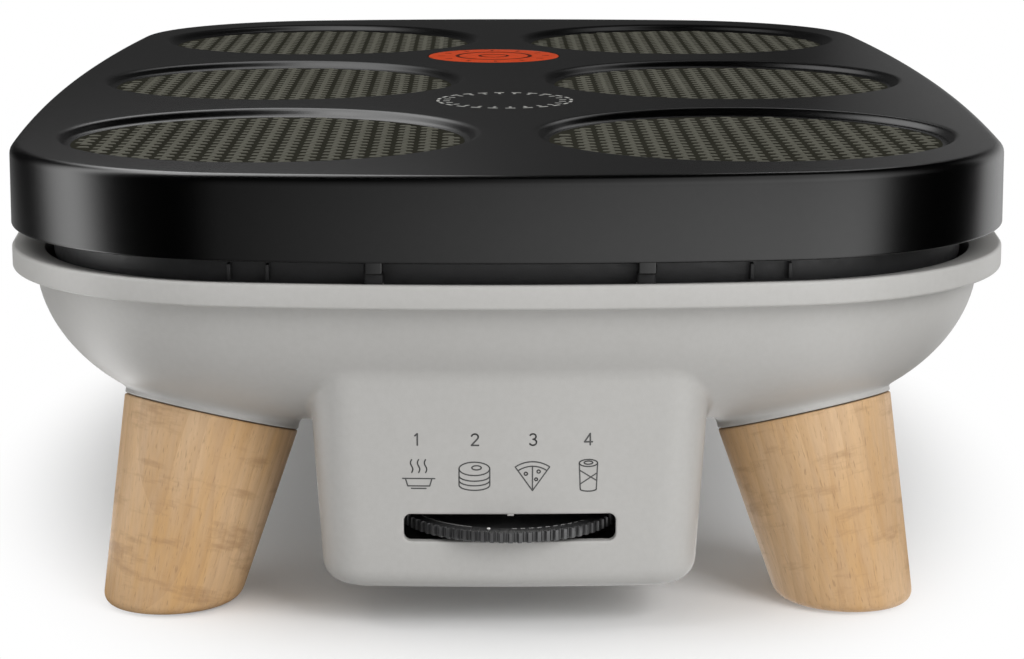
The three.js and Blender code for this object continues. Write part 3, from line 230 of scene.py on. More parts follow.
def light_dome():
    """The dome as a mesh: an oval in plan, a quarter ellipse in height and a flat foot, whose points hold
    the strength of the light there."""
    bearing = np.arange(-180.0, 180.0, dome_step)
    count = len(bearing)
    turn = np.radians(bearing)
    heights = [*np.arange(0.0, dome_peak, dome_step), dome_peak]
    levels = [(dome_foot, 0.0), *((1.0, height) for height in heights)]
    rows = []
    for reach, height in levels:
        rise = np.radians(height)
        across = reach * np.cos(rise) * np.column_stack([np.sin(turn), -np.cos(turn)])
        rows.append(np.column_stack([across, np.full(count, np.sin(rise))]) * dome_reach)
    glow = np.concatenate([panel_glow(bearing, height) for _, height in levels])
    points, faces = strip(rows)
    mesh = new_mesh("light_dome", points, faces.tolist())
    mesh.attributes.new("glow", "FLOAT", "POINT").data.foreach_set("value", glow)
    material, tree = stage_material("dome_light")
    strength = add_node(tree, "Attribute", output="Fac", attribute_name="glow")
    add_node(tree, "OutputMaterial", {"Surface": add_node(tree, "Emission", {"Strength": strength})})
    mesh.materials.append(material)
    return link(bpy.data.objects.new("light_dome", mesh))


dome = light_dome()
dome.visible_camera = dome.visible_diffuse = dome.visible_shadow = dome.visible_transmission = False

# Base shell: one moulding of pale grey heat-resistant plastic. A banded rim runs round a bowl, whose floor
# turns down in soft fillets into four leg sockets and the control box. Everything else is fixed to it.
mm = 0.001
plate_low, plate_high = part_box("cooking_plate")
half_width, half_length = plate_high.x, plate_high.y
side_radius, end_radius, corner_radius = 2233 * mm, 563.5 * mm, 77.5 * mm
side_centre = np.array([half_width - side_radius, 0.0])
end_centre = np.array([0.0, half_length - end_radius])


def corner_centre():
    """Centre of the outline's corner arc: it lies side_radius - corner_radius from the side arc's centre
    and end_radius - corner_radius from the end arc's, so that the three arcs meet in tangents."""
    to_side, to_end = side_radius - corner_radius, end_radius - corner_radius
    between = np.hypot(*(end_centre - side_centre))
    along = (to_side ** 2 - to_end ** 2 + between ** 2) / (2 * between)
    across = math.sqrt(to_side ** 2 - along ** 2)
    direction = (end_centre - side_centre) / between
    return side_centre + along * direction + across * np.array([-direction[1], direction[0]])


corner_place = corner_centre()
side_angle = math.atan2(*(corner_place - side_centre)[::-1])
end_angle = math.atan2(*(corner_place - end_centre)[::-1])
arc_centres = np.vstack([side_centre, corner_place, end_centre])
arc_radii = np.array([side_radius, corner_radius, end_radius])


def at_height(plan, height):
    """Plan points lifted to a height."""
    return np.column_stack([plan, np.full(len(plan), height)])


def around(count):
    """Angles of even steps round a circle."""
    return np.linspace(0, 2 * math.pi, count, endpoint=False)


def spokes_at(angle):
    """Unit plan spokes at the given angles."""
    return np.column_stack([np.cos(angle), np.sin(angle)])


def fold(quarter, values=False):
    """Mirrors a loop's first quarter into the other three, in order round the loop."""
    signs = [1.0] * 4 if values else [[1, 1], [-1, 1], [-1, -1], [1, -1]]
    parts = [quarter, quarter[-2::-1], quarter[1:], quarter[-2:0:-1]]
    return np.concatenate([part * np.array(sign) for part, sign in zip(parts, signs)])


class PlanLoop:
    """The closed outline of the plate and the base. Each point keeps its arc's centre, radius and outward
    normal, so the outline drawn in by an inset is centre + (radius - inset) * normal."""

    def __init__(self, side_steps, corner_steps, end_steps):
        """The angles are even steps over each arc of the first quarter, from the side to the end."""
        angle = np.concatenate([np.linspace(0, side_angle, side_steps, endpoint=False),
                                np.linspace(side_angle, end_angle, corner_steps, endpoint=False),
                                np.linspace(end_angle, math.pi / 2, end_steps + 1)])
        arc = np.repeat([0, 1, 2], [side_steps, corner_steps, end_steps + 1])
        self.radius = fold(arc_radii[arc], values=True)
        self.centre = fold(arc_centres[arc])
        self.normal = fold(spokes_at(angle))

    def ring(self, inset, height):
        """The outline drawn in by an inset, at a height."""
        return at_height(self.centre + (self.radius - inset)[:, None] * self.normal, height)

    def rows(self, profile):
        """The outline carried along a profile of (inset, height)."""
        return [self.ring(inset, height) for inset, height in profile]


def inset_of(plan):
    """How far plan points lie inside the outline, and the centre and radius of the arc each belongs to."""
    folded = np.abs(plan[:, :2])
    insets = [radius - np.hypot(*(folded - centre).T) for centre, radius in zip(arc_centres, arc_radii)]
    angle = np.arctan2(*(folded - corner_place).T[::-1])
    on_corner = (angle > side_angle) & (angle < end_angle)
    arc = np.where(on_corner, 1, np.where(insets[0] < insets[2], 0, 2))
    return np.choose(arc, insets), arc_centres[arc], arc_radii[arc]


skirt_bottom = plate_high.z - 23.3 * mm
rim_top = skirt_bottom - 5.8 * mm
rim_bottom = rim_top - 6.7 * mm
rim_edge, rim_inner_edge = 0.9 * mm, 0.3 * mm
rim_outer_inset, rim_inner_inset = 6.8 * mm, 9.4 * mm
rim_inner_z, rim_crown = rim_top - 1.37 * mm, rim_top + 0.14 * mm
shell_wall = 2.6 * mm
bowl_power = 1.86


class Bowl:
    """The bowl: from its top inset at the rim down to a flat floor, the section is a quarter of a
    superellipse, across^p + down^p = 1. It can be unrolled, so that lengths up its wall stay true."""

    def __init__(self, top_inset, run, depth):
        """A table of lengths up the wall: across is 1 - cos(turn)^(2/p), down is sin(turn)^(2/p)."""
        self.top_inset, self.run, self.depth = top_inset, run, depth
        self.floor_inset, self.floor = top_inset + run, rim_bottom - depth
        turn = np.linspace(0, math.pi / 2, 1500)
        self.table_inset = top_inset + run * (1 - np.cos(turn) ** (2 / bowl_power))
        table_height = depth * np.sin(turn) ** (2 / bowl_power)
        steps = np.hypot(np.diff(self.table_inset), np.diff(table_height))
        self.table_arc = np.concatenate([[0.0], np.cumsum(steps)])

    def height(self, plan):
        """How high the bowl's surface lies over plan points, by the superellipse and its flat floor."""
        across = np.clip(1 - (inset_of(plan)[0] - self.top_inset) / self.run, 0.0, 1.0)
        return rim_bottom - self.depth * (1 - across ** bowl_power) ** (1 / bowl_power)

    def lift(self, plan):
        """Plan points put on the bowl's surface."""
        return np.column_stack([plan[:, :2], self.height(plan)])

    def unroll(self, points):
        """Plan places with each inset swapped for the length up the wall, counted out from the floor."""
        inset, centre, radius = inset_of(points)
        arc = np.interp(inset, self.table_inset, self.table_arc)
        spread = np.where(inset < self.floor_inset, self.floor_inset - (self.table_arc[-1] - arc), inset)
        spoke = np.abs(points[:, :2]) - centre
        length = np.maximum(np.hypot(*spoke.T), 1e-9)
        moved = centre + spoke * ((radius - spread) / length)[:, None]
        return moved * np.where(points[:, :2] < 0, -1.0, 1.0)


outer_bowl = Bowl(rim_outer_inset, 50.7 * mm, 42.2 * mm)
inner_bowl = Bowl(rim_inner_inset, 48.1 * mm, 39.6 * mm)


def unit(vectors):
    """Vectors divided by their lengths."""
    return vectors / np.linalg.norm(vectors, axis=-1, keepdims=True)


def inside_loop(plan, loop):
    """Which plan points lie inside a closed loop: a line to the right crosses its edges an odd number
    of times."""
    end = np.roll(loop, -1, axis=0)
    x, y = plan[:, :1], plan[:, 1:2]
    spans = (loop[:, 1] > y) != (end[:, 1] > y)
    rise = np.where(end[:, 1] == loop[:, 1], 1e-12, end[:, 1] - loop[:, 1])
    crossing = loop[:, 0] + (y - loop[:, 1]) * (end[:, 0] - loop[:, 0]) / rise
    return (spans & (x < crossing)).sum(axis=1) % 2 == 1


def flat_plan(points):
    """Plan view for a triangulation."""
    return points[:, :2]


front_middle, front_scale, front_bulge = 45 * mm, 60 * mm, 0.02


def flat_front(points):
    """Front view for a triangulation, bulged a little so that its straight sides are not quite straight."""
    across, up = points[:, 0] / front_scale, (points[:, 2] - front_middle) / front_scale
    return points[:, [0, 2]] * np.column_stack([1 - front_bulge * up ** 2, 1 - front_bulge * across ** 2])


def filled(outer, holes, inner=None, flat=flat_plan, margin=1.6 * mm):
    """Triangles that fill an outer loop, leave its holes open and use the inner points that keep a margin
    from every hole. flat lays the points out in a plane for the triangulation."""
    inner = np.empty((0, 3)) if inner is None else inner
    for hole in holes:
        if len(inner):
            place, loop = flat(inner), flat(hole)
            gap = np.hypot(place[:, None, 0] - loop[None, :, 0], place[:, None, 1] - loop[None, :, 1])
            inner = inner[~inside_loop(place, loop) & (gap.min(axis=1) > margin)]
    loops = [outer, *holes]
    points = np.vstack([*loops, inner])
    plan = flat(points)
    ends = np.cumsum([len(loop) for loop in loops])
    index = [np.arange(end - len(loop), end) for loop, end in zip(loops, ends)]
    edges = np.vstack([np.column_stack([i, np.roll(i, -1)]) for i in index])
    made = delaunay_2d_cdt([Vector(place) for place in plan.tolist()], edges.tolist(), [], 0, 1e-9)
    source = np.array([ids[0] if ids else -1 for ids in made[3]])
    faces = source[np.array(made[2])]
    middle = plan[faces].mean(axis=1)
    keep = (faces >= 0).all(axis=1) & inside_loop(middle, plan[index[0]])
    for i in index[1:]:
        keep &= ~inside_loop(middle, plan[i])
    return points, faces[keep]


def rounded(corners, steps=5):
    """A profile through corners given as (across, up, radius). Round a corner with a radius it follows an
    arc that touches both sides at radius / tan(half the corner's angle) from the corner."""
    places = [np.array(corner[:2]) for corner in corners]
    profile = [places[0][None]]
    for before, here, after, (_, _, radius) in zip(places, places[1:], places[2:], corners[1:]):
        if radius == 0:
            profile.append(here[None])
            continue
        back, ahead = unit(before - here), unit(after - here)
        half = math.acos(np.clip(back @ ahead, -1, 1)) / 2
        centre = here + unit(back + ahead) * radius / math.sin(half)
        start, end = (here + side * radius / math.tan(half) - centre for side in (back, ahead))
        sweep = math.pi - 2 * half
        share = np.linspace(0, 1, steps + 1)[:, None]
        profile.append(centre + (np.sin((1 - share) * sweep) * start + np.sin(share * sweep) * end)
                       / math.sin(sweep))
    profile.append(places[-1][None])
    return np.vstack(profile)


def circle(across, along, count):
    """Unit spokes round a circle, cos(angle) * across + sin(angle) * along."""
    angle = around(count)[:, None]
    return np.cos(angle) * across + np.sin(angle) * along


def lathe(profile, centre, axis=(0.0, 0.0, 1.0), count=64):
    """A surface of revolution: a point is centre + up * axis + across * spoke(angle)."""
    axis = unit(np.array(axis))
    across = unit(np.cross(axis, [0.0, 1.0, 0.0]) if abs(axis[1]) < 0.9 else np.array([1.0, 0.0, 0.0]))
    spokes = circle(across, np.cross(axis, across), count)
    return strip([np.array(centre) + up * axis + radius * spokes for radius, up in profile])


def turned(corners, place, count=64, steps=3):
    """An upright turned part at a plan place, from its profile's corners."""
    return lathe(rounded(corners, steps), (*place, 0.0), count=count)


def ring_at(place, radius, height, count=24):
    """A level circle round a plan place."""
    return at_height(place + radius * spokes_at(around(count)), height)


def rings_at(place, profile, count):
    """Level circles round a plan place, one for each (radius, height) of a profile."""
    return [ring_at(place, radius, height, count) for radius, height in profile]


def bores(low_loops, high_loops):
    """The walls of holes, each between its loop on one face and its loop on the other."""
    return [strip(pair) for pair in zip(low_loops, high_loops)]


def rounded_rectangle(low, high, radius, steps=6):
    """A plan loop of straight sides and quarter circles, counterclockwise from the lower right corner."""
    quarter = np.linspace(0, math.pi / 2, steps + 1)
    corners = [(high[0] - radius, low[1] + radius, -1), (high[0] - radius, high[1] - radius, 0),
               (low[0] + radius, high[1] - radius, 1), (low[0] + radius, low[1] + radius, 2)]
    return np.vstack([np.column_stack([x + radius * np.cos(quarter + turn * math.pi / 2),
                                       y + radius * np.sin(quarter + turn * math.pi / 2)])
                      for x, y, turn in corners])


def soft_block(low, high, edge, corner=None):
    """A block whose upright corners and level edges are rounded: its plan loop is drawn in by
    edge * (1 - cos) while it climbs edge * sin, and closes to a point on both faces."""
    corner = edge if corner is None else corner
    turn = np.linspace(0, math.pi / 2, 4)
    inward, rise = edge * (1 - np.cos(turn)), edge * (1 - np.sin(turn))
    levels = [*zip(inward[::-1], low[2] + rise[::-1]), *zip(inward, high[2] - rise)]
    rows = [at_height(rounded_rectangle((low[0] + i, low[1] + i), (high[0] - i, high[1] - i),
                                        max(corner - i, 1e-5), 4), z) for i, z in levels]
    centre = [(low[0] + high[0]) / 2, (low[1] + high[1]) / 2]
    ends = [np.tile([*centre, z], (len(rows[0]), 1)) for z in (low[2], high[2])]
    return strip([ends[0], *rows, ends[1]])


def corner_block(sign, low, high, edge):
    """A soft block given in the quarter to the right and behind, mirrored into the quarter of the signs."""
    x, y = (sorted((side * a, side * b)) for side, a, b in zip(sign, low, high))
    return soft_block((x[0], y[0], low[2]), (x[1], y[1], high[2]), edge)


def box_middle(low, high):
    """The plan middle of a box."""
    return np.array([(low.x + high.x) / 2, (low.y + high.y) / 2])


def weld(name, parts, smooth_angle):
    """One mesh of (points, faces) parts, their common points merged and their faces turned outwards."""
    starts = np.cumsum([0, *(len(part[0]) for part in parts[:-1])])
    faces = [face for part, start in zip(parts, starts) for face in (np.asarray(part[1]) + start).tolist()]
    mesh = new_mesh(name, np.vstack([part[0] for part in parts]), faces)
    shape = bmesh.new()
    shape.from_mesh(mesh)
    bmesh.ops.remove_doubles(shape, verts=shape.verts, dist=2e-6)
    bmesh.ops.dissolve_degenerate(shape, edges=shape.edges, dist=1e-7)
    bmesh.ops.recalc_face_normals(shape, faces=shape.faces)
    shape.to_mesh(mesh)
    shape.free()
    mesh.shade_smooth()
    mesh.set_sharp_from_angle(angle=math.radians(smooth_angle))
    return mesh


def add_mesh(mesh, material, body, slot, *stands_for):
    """Makes a mesh a piece: gives it its finish and hangs it on its body in place of its nodes."""
    mesh.materials.append(material)
    piece = link(bpy.data.objects.new(mesh.name, mesh))
    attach(piece, body)
    if stands_for:
        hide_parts(*stands_for)
    return piece


def add_piece(name, parts, material, body, slot, *stands_for, smooth_angle=38.0):
    """Welds parts into a piece whose edges stay sharp above an angle in degrees."""
    return add_mesh(weld(name, parts, smooth_angle), material, body, slot, *stands_for)


def ruled_to_bowl(starts, directions, bowl, reach):
    """Length along each line from its start, outside the bowl, to the bowl's surface, by halving."""
    low, high = np.zeros(len(starts)), np.full(len(starts), reach)
    for _ in range(40):
        middle = (low + high) / 2
        at = starts + directions * middle[:, None]
        within = at[:, 2] > bowl.height(at)
        low, high = np.where(within, low, middle), np.where(within, middle, high)
    return low


def fillet(corners, outward, down, radius, steps, most, flare=1.0):
    """A concave fillet where a wall meets the bowl. Each section is one cubic: it leaves the bowl and the
    wall at radius / tan(half the angle), or at most the given length on the wall and flare times that on
    the bowl, and its handles are 4/3 * tan(a quarter of the turn) * tan(half the angle) of those lengths.
    Returns its rows from the bowl to the wall."""
    probe = 0.1 * mm
    along = unit(outer_bowl.lift(corners[:, :2] + outward * probe) - outer_bowl.lift(corners))
    half = np.arccos(np.clip((along * down).sum(axis=1), -1, 1)) / 2
    above, below = (np.minimum(radius / np.tan(half), limit)[:, None] for limit in (most * flare, most))
    reach = above[:, 0] * np.hypot(along[:, 0], along[:, 1])
    start = outer_bowl.lift(corners[:, :2] + outward * reach[:, None])
    leaving = unit(outer_bowl.lift(start[:, :2] + outward * probe) - start)
    end = corners + down * below
    handle = (4 / 3 * np.tan((math.pi / 2 - half) / 2) * np.tan(half))[:, None]
    share = np.linspace(0, 1, steps + 1)[:, None, None]
    return ((1 - share) ** 3 * start + 3 * (1 - share) ** 2 * share * (start - leaving * handle * above)
            + 3 * (1 - share) * share ** 2 * (end - down * handle * below) + share ** 3 * end)


# Control box: a deep box of the same moulding under the front of the base, with a window for the wheel. Its
# outline leans outwards as it rises; the front follows an arc, the sides are straight.
cover_low, cover_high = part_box("control_box_cover")
box_bottom = cover_low.z
box_edge = 6 * mm
box_half, box_corner = 51.8 * mm, 13 * mm
box_face, box_back = 222 * mm, 142 * mm
window_half, window_corner = 29.15 * mm, 2 * mm
window_low, window_high = box_bottom + 14.5 * mm, box_bottom + 22.3 * mm
window_margin, window_supports = 0.25 * mm, (0.9 * mm, 2.2 * mm)
face_from = box_bottom + 15.4 * mm
side_lean, face_lean = math.tan(math.radians(3.56)), math.tan(math.radians(1.5))
front_steps = 56
side_fillet, face_fillet, longest_fillet = 2.6, 4.9, 20 * mm


def box_outline(height, grow, turn=12, side=18, back=30):
    """Plan loop of the control box at a height, grown by a distance, and its outward normals. It starts
    at the left end of the front arc. Each arc: its centre, radius, first and last angle, its steps, and
    the steps of the straight that follows it."""
    half = box_half + (height - box_bottom) * side_lean + grow
    face = box_face + (height - face_from) * face_lean + grow
    radius = box_corner + grow
    arc_y, centre_x = end_radius - face, half - radius
    front_y = arc_y - math.sqrt((end_radius - radius) ** 2 - centre_x ** 2)
    back_y = -box_back + grow - radius
    lean = math.atan2(centre_x, arc_y - front_y)
    arcs = [(0.0, arc_y, end_radius, -math.pi / 2 - lean, -math.pi / 2 + lean, front_steps, 0),
            (centre_x, front_y, radius, lean - math.pi / 2, 0.0, turn, side),
            (centre_x, back_y, radius, 0.0, math.pi / 2, turn, back),
            (-centre_x, back_y, radius, math.pi / 2, math.pi, turn, side),
            (-centre_x, front_y, radius, math.pi, math.pi * 1.5 - lean, turn, 0)]
    points, normals = [], []
    for (x, y, size, start, stop, steps, gaps), after in zip(arcs, arcs[1:] + arcs[:1]):
        angle = np.linspace(start, stop, steps + 1)[:None if gaps else -1]
        normal = spokes_at(angle)
        points.append(np.array([x, y]) + size * normal)
        normals.append(normal)
        if gaps:
            share = np.linspace(0, 1, gaps, endpoint=False)[1:, None]
            points.append(points[-1][-1] * (1 - share) + (np.array(after[:2]) + radius * normal[-1]) * share)
            normals.append(np.tile(normal[-1], (gaps - 1, 1)))
    return np.vstack(points), np.vstack(normals)


def box_loop(height, grow):
    """The control box's outline as a loop at its height."""
    return at_height(box_outline(height, grow)[0], height)


def box_walls(bowl, grow, low_height, blended):
    """Rows of the box's wall from a low outline up its rulings to the bowl, or to the fillet below it,
    and the fillet's rows. The fillet is wide over the face and the back and narrow beside the legs."""
    low_loop = box_loop(low_height, grow)
    direction = unit(box_loop(rim_bottom, grow) - low_loop)
    top = low_loop + direction * ruled_to_bowl(low_loop, direction, bowl, rim_bottom - low_height)[:, None]
    blend = None
    if blended:
        normal = box_outline(low_height, grow)[1]
        radius = (side_fillet + face_fillet * np.abs(normal[:, 1]) ** 3) * mm
        blend = fillet(top, normal, -direction, radius, 8, longest_fillet)
        top = blend[-1]
    share = np.linspace(0, 1, 17)[:, None, None]
    return low_loop * (1 - share) + top * share, blend


def face_with_window(rows, opening):
    """The box's front between two rows of rulings, with the window's opening left out."""
    front = rows[:, :front_steps + 1]
    outer = np.vstack([front[0], front[1:-1, -1], front[-1, ::-1], front[-2:0:-1, 0]])
    inner = np.vstack([front[1:-1, 1:-1].reshape(-1, 3), *opening[1:]])
    return filled(outer, [opening[0]], inner, flat_front, window_margin)


def on_box_face(across, height, out=0.0):
    """Points of the box's front face: its arc at that height, moved outwards."""
    face = box_face + (height - face_from) * face_lean + out
    return np.column_stack([across, end_radius - face - np.sqrt(end_radius ** 2 - across ** 2), height])


def window_loop(grow, out=0.0):
    """The window's outline on the face, grown by a distance, with points along its long sides."""
    loop = rounded_rectangle((-window_half - grow, window_low - grow),
                             (window_half + grow, window_high + grow), window_corner + grow, 8)
    middle = np.linspace(-window_half, window_half, 26)[1:-1]
    low_side = np.column_stack([middle, np.full(len(middle), window_low - grow)])
    high_side = np.column_stack([middle[::-1], np.full(len(middle), window_high + grow)])
    keep = np.abs(middle) < window_half - window_corner
    loop = np.vstack([loop[:18], high_side[keep[::-1]], loop[18:], low_side[keep]])
    return on_box_face(loop[:, 0], loop[:, 1], out)


# Leg sockets: four short collars of the same moulding, square to the splayed legs, each with a pocket for
# a bolt's head on its inside. Their fillets narrow towards the control box.
leg_signs = {"front_left": (-1, -1), "front_right": (1, -1), "rear_left": (-1, 1), "rear_right": (1, 1)}
leg_top_radius = 25.4 * mm
leg_x, leg_y = 85.5 * mm, half_length - 60.6 * mm
leg_joint_z = outer_bowl.floor + 1.4 * mm
leg_splay = math.tan(math.radians(12.8)), math.tan(math.radians(12.0))
bolt_hole = 3.3 * mm
pocket_floor, pocket_wall = 3.5 * mm, 2.8 * mm
collar_edge, socket_reach, socket_steps = 0.4 * mm, 30 * mm, 120
collar_fillet, fillet_lost_at_box, collar_flare = 9.0, 5.5, 3.0


def leg_frame(sign, count):
    """Centre of a leg's joint, the leg's axis upwards, and unit spokes square to it."""
    axis = unit(np.array([-sign[0] * leg_splay[0], -sign[1] * leg_splay[1], 1.0]))
    across = unit(np.cross([0.0, 1.0, 0.0], axis))
    centre = np.array([sign[0] * leg_x, sign[1] * leg_y, leg_joint_z])
    return centre, axis, circle(across, np.cross(axis, across), count)


def socket(sign):
    """A collar: the bolt's hole, the joint face, its rounded edge, the wall and the fillet's rows on the
    outside, and the pocket for the bolt's head on the inside."""
    centre, axis, spokes = leg_frame(sign, socket_steps)
    starts = centre + spokes * leg_top_radius
    up = np.tile(axis, (len(spokes), 1))
    meet = ruled_to_bowl(starts, up, outer_bowl, socket_reach)
    outward = unit(spokes[:, :2])
    to_box = np.clip(-outward[:, 0] * sign[0], 0, 1) ** 2 if sign[1] < 0 else np.zeros(len(spokes))
    radius = (collar_fillet - fillet_lost_at_box * to_box) * mm
    blend = fillet(starts + up * meet[:, None], outward, -up, radius, 9, meet - 3 * collar_edge, collar_flare)
    face = rounded([(bolt_hole, pocket_floor, 0), (bolt_hole, 0, 0), (leg_top_radius, 0, collar_edge),
                    (leg_top_radius, collar_edge * 2, 0)], 3)
    rings = [centre + radius * spokes + rise * axis for radius, rise in face]
    pocket = centre + axis * pocket_floor + spokes * (leg_top_radius - pocket_wall)
    pocket_top = pocket + up * ruled_to_bowl(pocket, up, inner_bowl, socket_reach)[:, None]
    return [*rings, *np.linspace(rings[-1], blend[-1], 4)[1:]], blend, [rings[0], pocket, pocket_top]


# Seat of the cable bush: a short boss of the same moulding that points backwards out of the rear wall. Its
# bore goes right through the wall.
gland_low, gland_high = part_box("cord_gland")
gland_z = (gland_low.z + gland_high.z) / 2
seat_y = gland_high.y - 2.8 * mm
seat_radius, seat_bore, seat_reach, seat_steps = 10.7 * mm, 6.8 * mm, 60 * mm, 72


def cable_seat():
    """The boss's face and wall forwards to the outer bowl, and its bore forwards to the inner bowl."""
    spokes = circle(np.array([1.0, 0, 0]), np.array([0, 0, 1.0]), seat_steps)
    forward = np.tile([0, -1.0, 0], (len(spokes), 1))
    rims = [np.array([0.0, seat_y, gland_z]) + spokes * radius for radius in (seat_radius, seat_bore)]
    ends = [rim + forward * ruled_to_bowl(rim, forward, bowl, seat_reach)[:, None]
            for rim, bowl in zip(rims, (outer_bowl, inner_bowl))]
    return [*np.linspace(ends[0], rims[0], 5), *np.linspace(rims[1], ends[1], 5)]


bowl_grid_reach = 90, 179
# How close the rings on each bowl's wall lie, and its floor's grid in millimetres.
outer_mesh, inner_mesh = (2.2 * mm, 8), (4.5 * mm, 12)


def bowl_skin(bowl, top_ring, loop, holes, ring_step, spacing):
    """A pierced bowl from its top ring to its floor, over rings up its wall and a grid on its floor that
    reaches bowl_grid_reach millimetres across and lengthwise."""
    arcs = np.arange(ring_step, bowl.table_arc[-1], ring_step)
    insets = np.interp(arcs, bowl.table_arc, bowl.table_inset)
    rings = [bowl.lift(loop.ring(inset, 0.0)) for inset in insets]
    x, y = (np.arange(-reach, reach + 1, spacing) * mm for reach in bowl_grid_reach)
    x, y = np.meshgrid(x, y)
    grid = np.column_stack([x.ravel(), y.ravel()])
    grid = grid[inset_of(grid)[0] > bowl.floor_inset + ring_step / 2]
    return filled(top_ring, holes, np.vstack([*rings, bowl.lift(grid)]), bowl.unroll)


cover_margin, cover_corner, cover_thickness = 8 * mm, 5 * mm, 2.4 * mm
ledge_width, ledge_corner = 5 * mm, 13 * mm
ledge_front, ledge_back = -209 * mm, -155 * mm
ledge_low, ledge_high = box_bottom + 2.7 * mm, box_bottom + 5 * mm
screw_x, screw_low_y, screw_high_y = 37.8 * mm, -208 * mm, -156 * mm
screw_hole = 1.7 * mm
screw_places = {"front_left": (-screw_x, screw_low_y), "front_right": (screw_x, screw_low_y),
                "rear_left": (-screw_x, screw_high_y), "rear_right": (screw_x, screw_high_y)}


def screw_rings(height):
    """The rims of the cover's four screw holes at a height."""
    return [ring_at(place, screw_hole, height) for place in screw_places.values()]


def cover_outline(margin, height):
    """The loop of the control box's cover, at a margin from the box's lower outline."""
    return at_height(rounded_rectangle((-box_half + margin, -box_face + margin),
                                       (box_half - margin, -box_back - margin), cover_corner), height)


def box_underside():
    """The box's rounded lower edge, the rebate for its cover, and the screwed ledge above the rebate."""
    turn = np.linspace(0, math.pi / 2, 8)
    edge = [box_loop(z, grow) for z, grow in zip(box_bottom + box_edge * (1 - np.sin(turn)),
                                                 -box_edge * (1 - np.cos(turn)))]
    support = box_loop(box_bottom, -box_edge - 0.4 * mm)
    rebate = [cover_outline(cover_margin, z) for z in (box_bottom, ledge_low)]
    reach = box_half - cover_margin - ledge_width
    cut = reach - ledge_corner
    eight = np.array([[-cut, ledge_front], [cut, ledge_front], [reach, ledge_front + ledge_corner],
                      [reach, ledge_back - ledge_corner], [cut, ledge_back], [-cut, ledge_back],
                      [-reach, ledge_back - ledge_corner], [-reach, ledge_front + ledge_corner]])
    low_holes, high_holes = ([at_height(eight, z), *screw_rings(z)] for z in (ledge_low, ledge_high))
    return [strip(edge), filled(edge[-1], [rebate[0]], support), strip(rebate), filled(rebate[1], low_holes),
            filled(box_loop(ledge_high, -shell_wall), high_holes),
            *bores(low_holes, high_holes)]


def window_edge(outer_opening, edge_opening):
    """The window's rounded edge: a quarter turn from the face's opening inwards to the wall's."""
    turn = np.linspace(0, math.pi / 2, 4)[:, None, None]
    rows = outer_opening + (edge_opening - outer_opening) * [1, 0, 1] * np.sin(turn)
    rows[:, :, 1] += (edge_opening - outer_opening)[:, 1] * (1 - np.cos(turn[:, :, 0]))
    return rows


def base_shell_parts():
    """All faces of the moulding: outer bowl, box and collars, underside, rim, and the inner skin."""
    loop = PlanLoop(34, 36, 18)
    box_rows, box_blend = box_walls(outer_bowl, 0.0, box_bottom + box_edge, True)
    inner_rows, _ = box_walls(inner_bowl, -shell_wall, ledge_high, False)
    sockets = [socket(sign) for sign in leg_signs.values()]
    seat = cable_seat()
    rim_rows = loop.rows(rounded([(rim_outer_inset, rim_bottom, 0), (0, rim_bottom, rim_edge),
                                  (0, rim_crown, rim_edge), (rim_inner_inset, rim_inner_z, rim_inner_edge),
                                  (rim_inner_inset, rim_bottom, 0)]))
    outer_holes = [box_blend[0], *(blend[0] for _, blend, _ in sockets), seat[0]]
    inner_holes = [inner_rows[-1], *(pocket[-1] for _, _, pocket in sockets), seat[-1]]
    parts = [strip(rim_rows), strip(box_blend), strip(seat), *box_underside(),
             bowl_skin(outer_bowl, rim_rows[0], loop, outer_holes, *outer_mesh),
             bowl_skin(inner_bowl, rim_rows[-1], loop, inner_holes, *inner_mesh)]
    parts += [strip(rows) for rows_of_socket in sockets for rows in rows_of_socket]
    outer_opening, inside_opening = window_loop(collar_edge), window_loop(0.0, -shell_wall)
    parts.append(strip([*window_edge(outer_opening, window_loop(0.0, -collar_edge)), inside_opening]))
    parts.append(face_with_window(box_rows, [outer_opening, *map(window_loop, window_supports)]))
    parts.append(face_with_window(inner_rows, [inside_opening]))
    parts += [strip(rows[:, [*range(front_steps, rows.shape[1]), 0]], closed=False)
              for rows in (box_rows, inner_rows)]
    return parts


# Each kind of screw post: its radius and its bore's.
strap_post_size, shield_post_size, post_bore_depth = (4.5 * mm, 1.7 * mm), (5 * mm, 2 * mm), 13 * mm


def tube_post(place, radius, bore, low, high):
    """An upright screw post: a tube that is closed below its bore."""
    bottom = high - post_bore_depth
    return turned([(0, low, 0), (radius, low, 0), (radius, high, 0.4 * mm), (bore, high, 0.2 * mm),
                   (bore, bottom, 0), (0, bottom, 0)], place, 32)


shield_low, shield_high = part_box("heat_shield")
shield_post_top = shield_low.z - 0.3 * mm
strap_post_x, strap_post_top = 42 * mm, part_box("thermostat_strap")[0].z - 0.3 * mm
wheel_y = -box_face + 24.7 * mm
shield_post = np.array([half_width - 63.5 * mm, half_length - 127.6 * mm])
stub_x, stub_y, stub_half = 36.4 * mm, 227.71 * mm, 2.5 * mm
stub_top = rim_inner_z + 0.35 * mm
post_root = 1 * mm
shell_extras = [tube_post((side * strap_post_x, wheel_y), *strap_post_size, ledge_high - post_root,
                          strap_post_top) for side in (-1, 1)]
for sign in leg_signs.values():
    shell_extras.append(tube_post(sign * shield_post, *shield_post_size, outer_bowl.floor + post_root,
                                  shield_post_top))
    shell_extras.append(corner_block(sign, (stub_x - stub_half, stub_y - stub_half, rim_inner_z - post_root),
                                     (stub_x + stub_half, stub_y + stub_half, stub_top), 0.5 * mm))

# The mottling's scale as a share of the grain's, and its share in the colour beside the patches.
mottle_scale, mottle_share = 0.16, 0.5


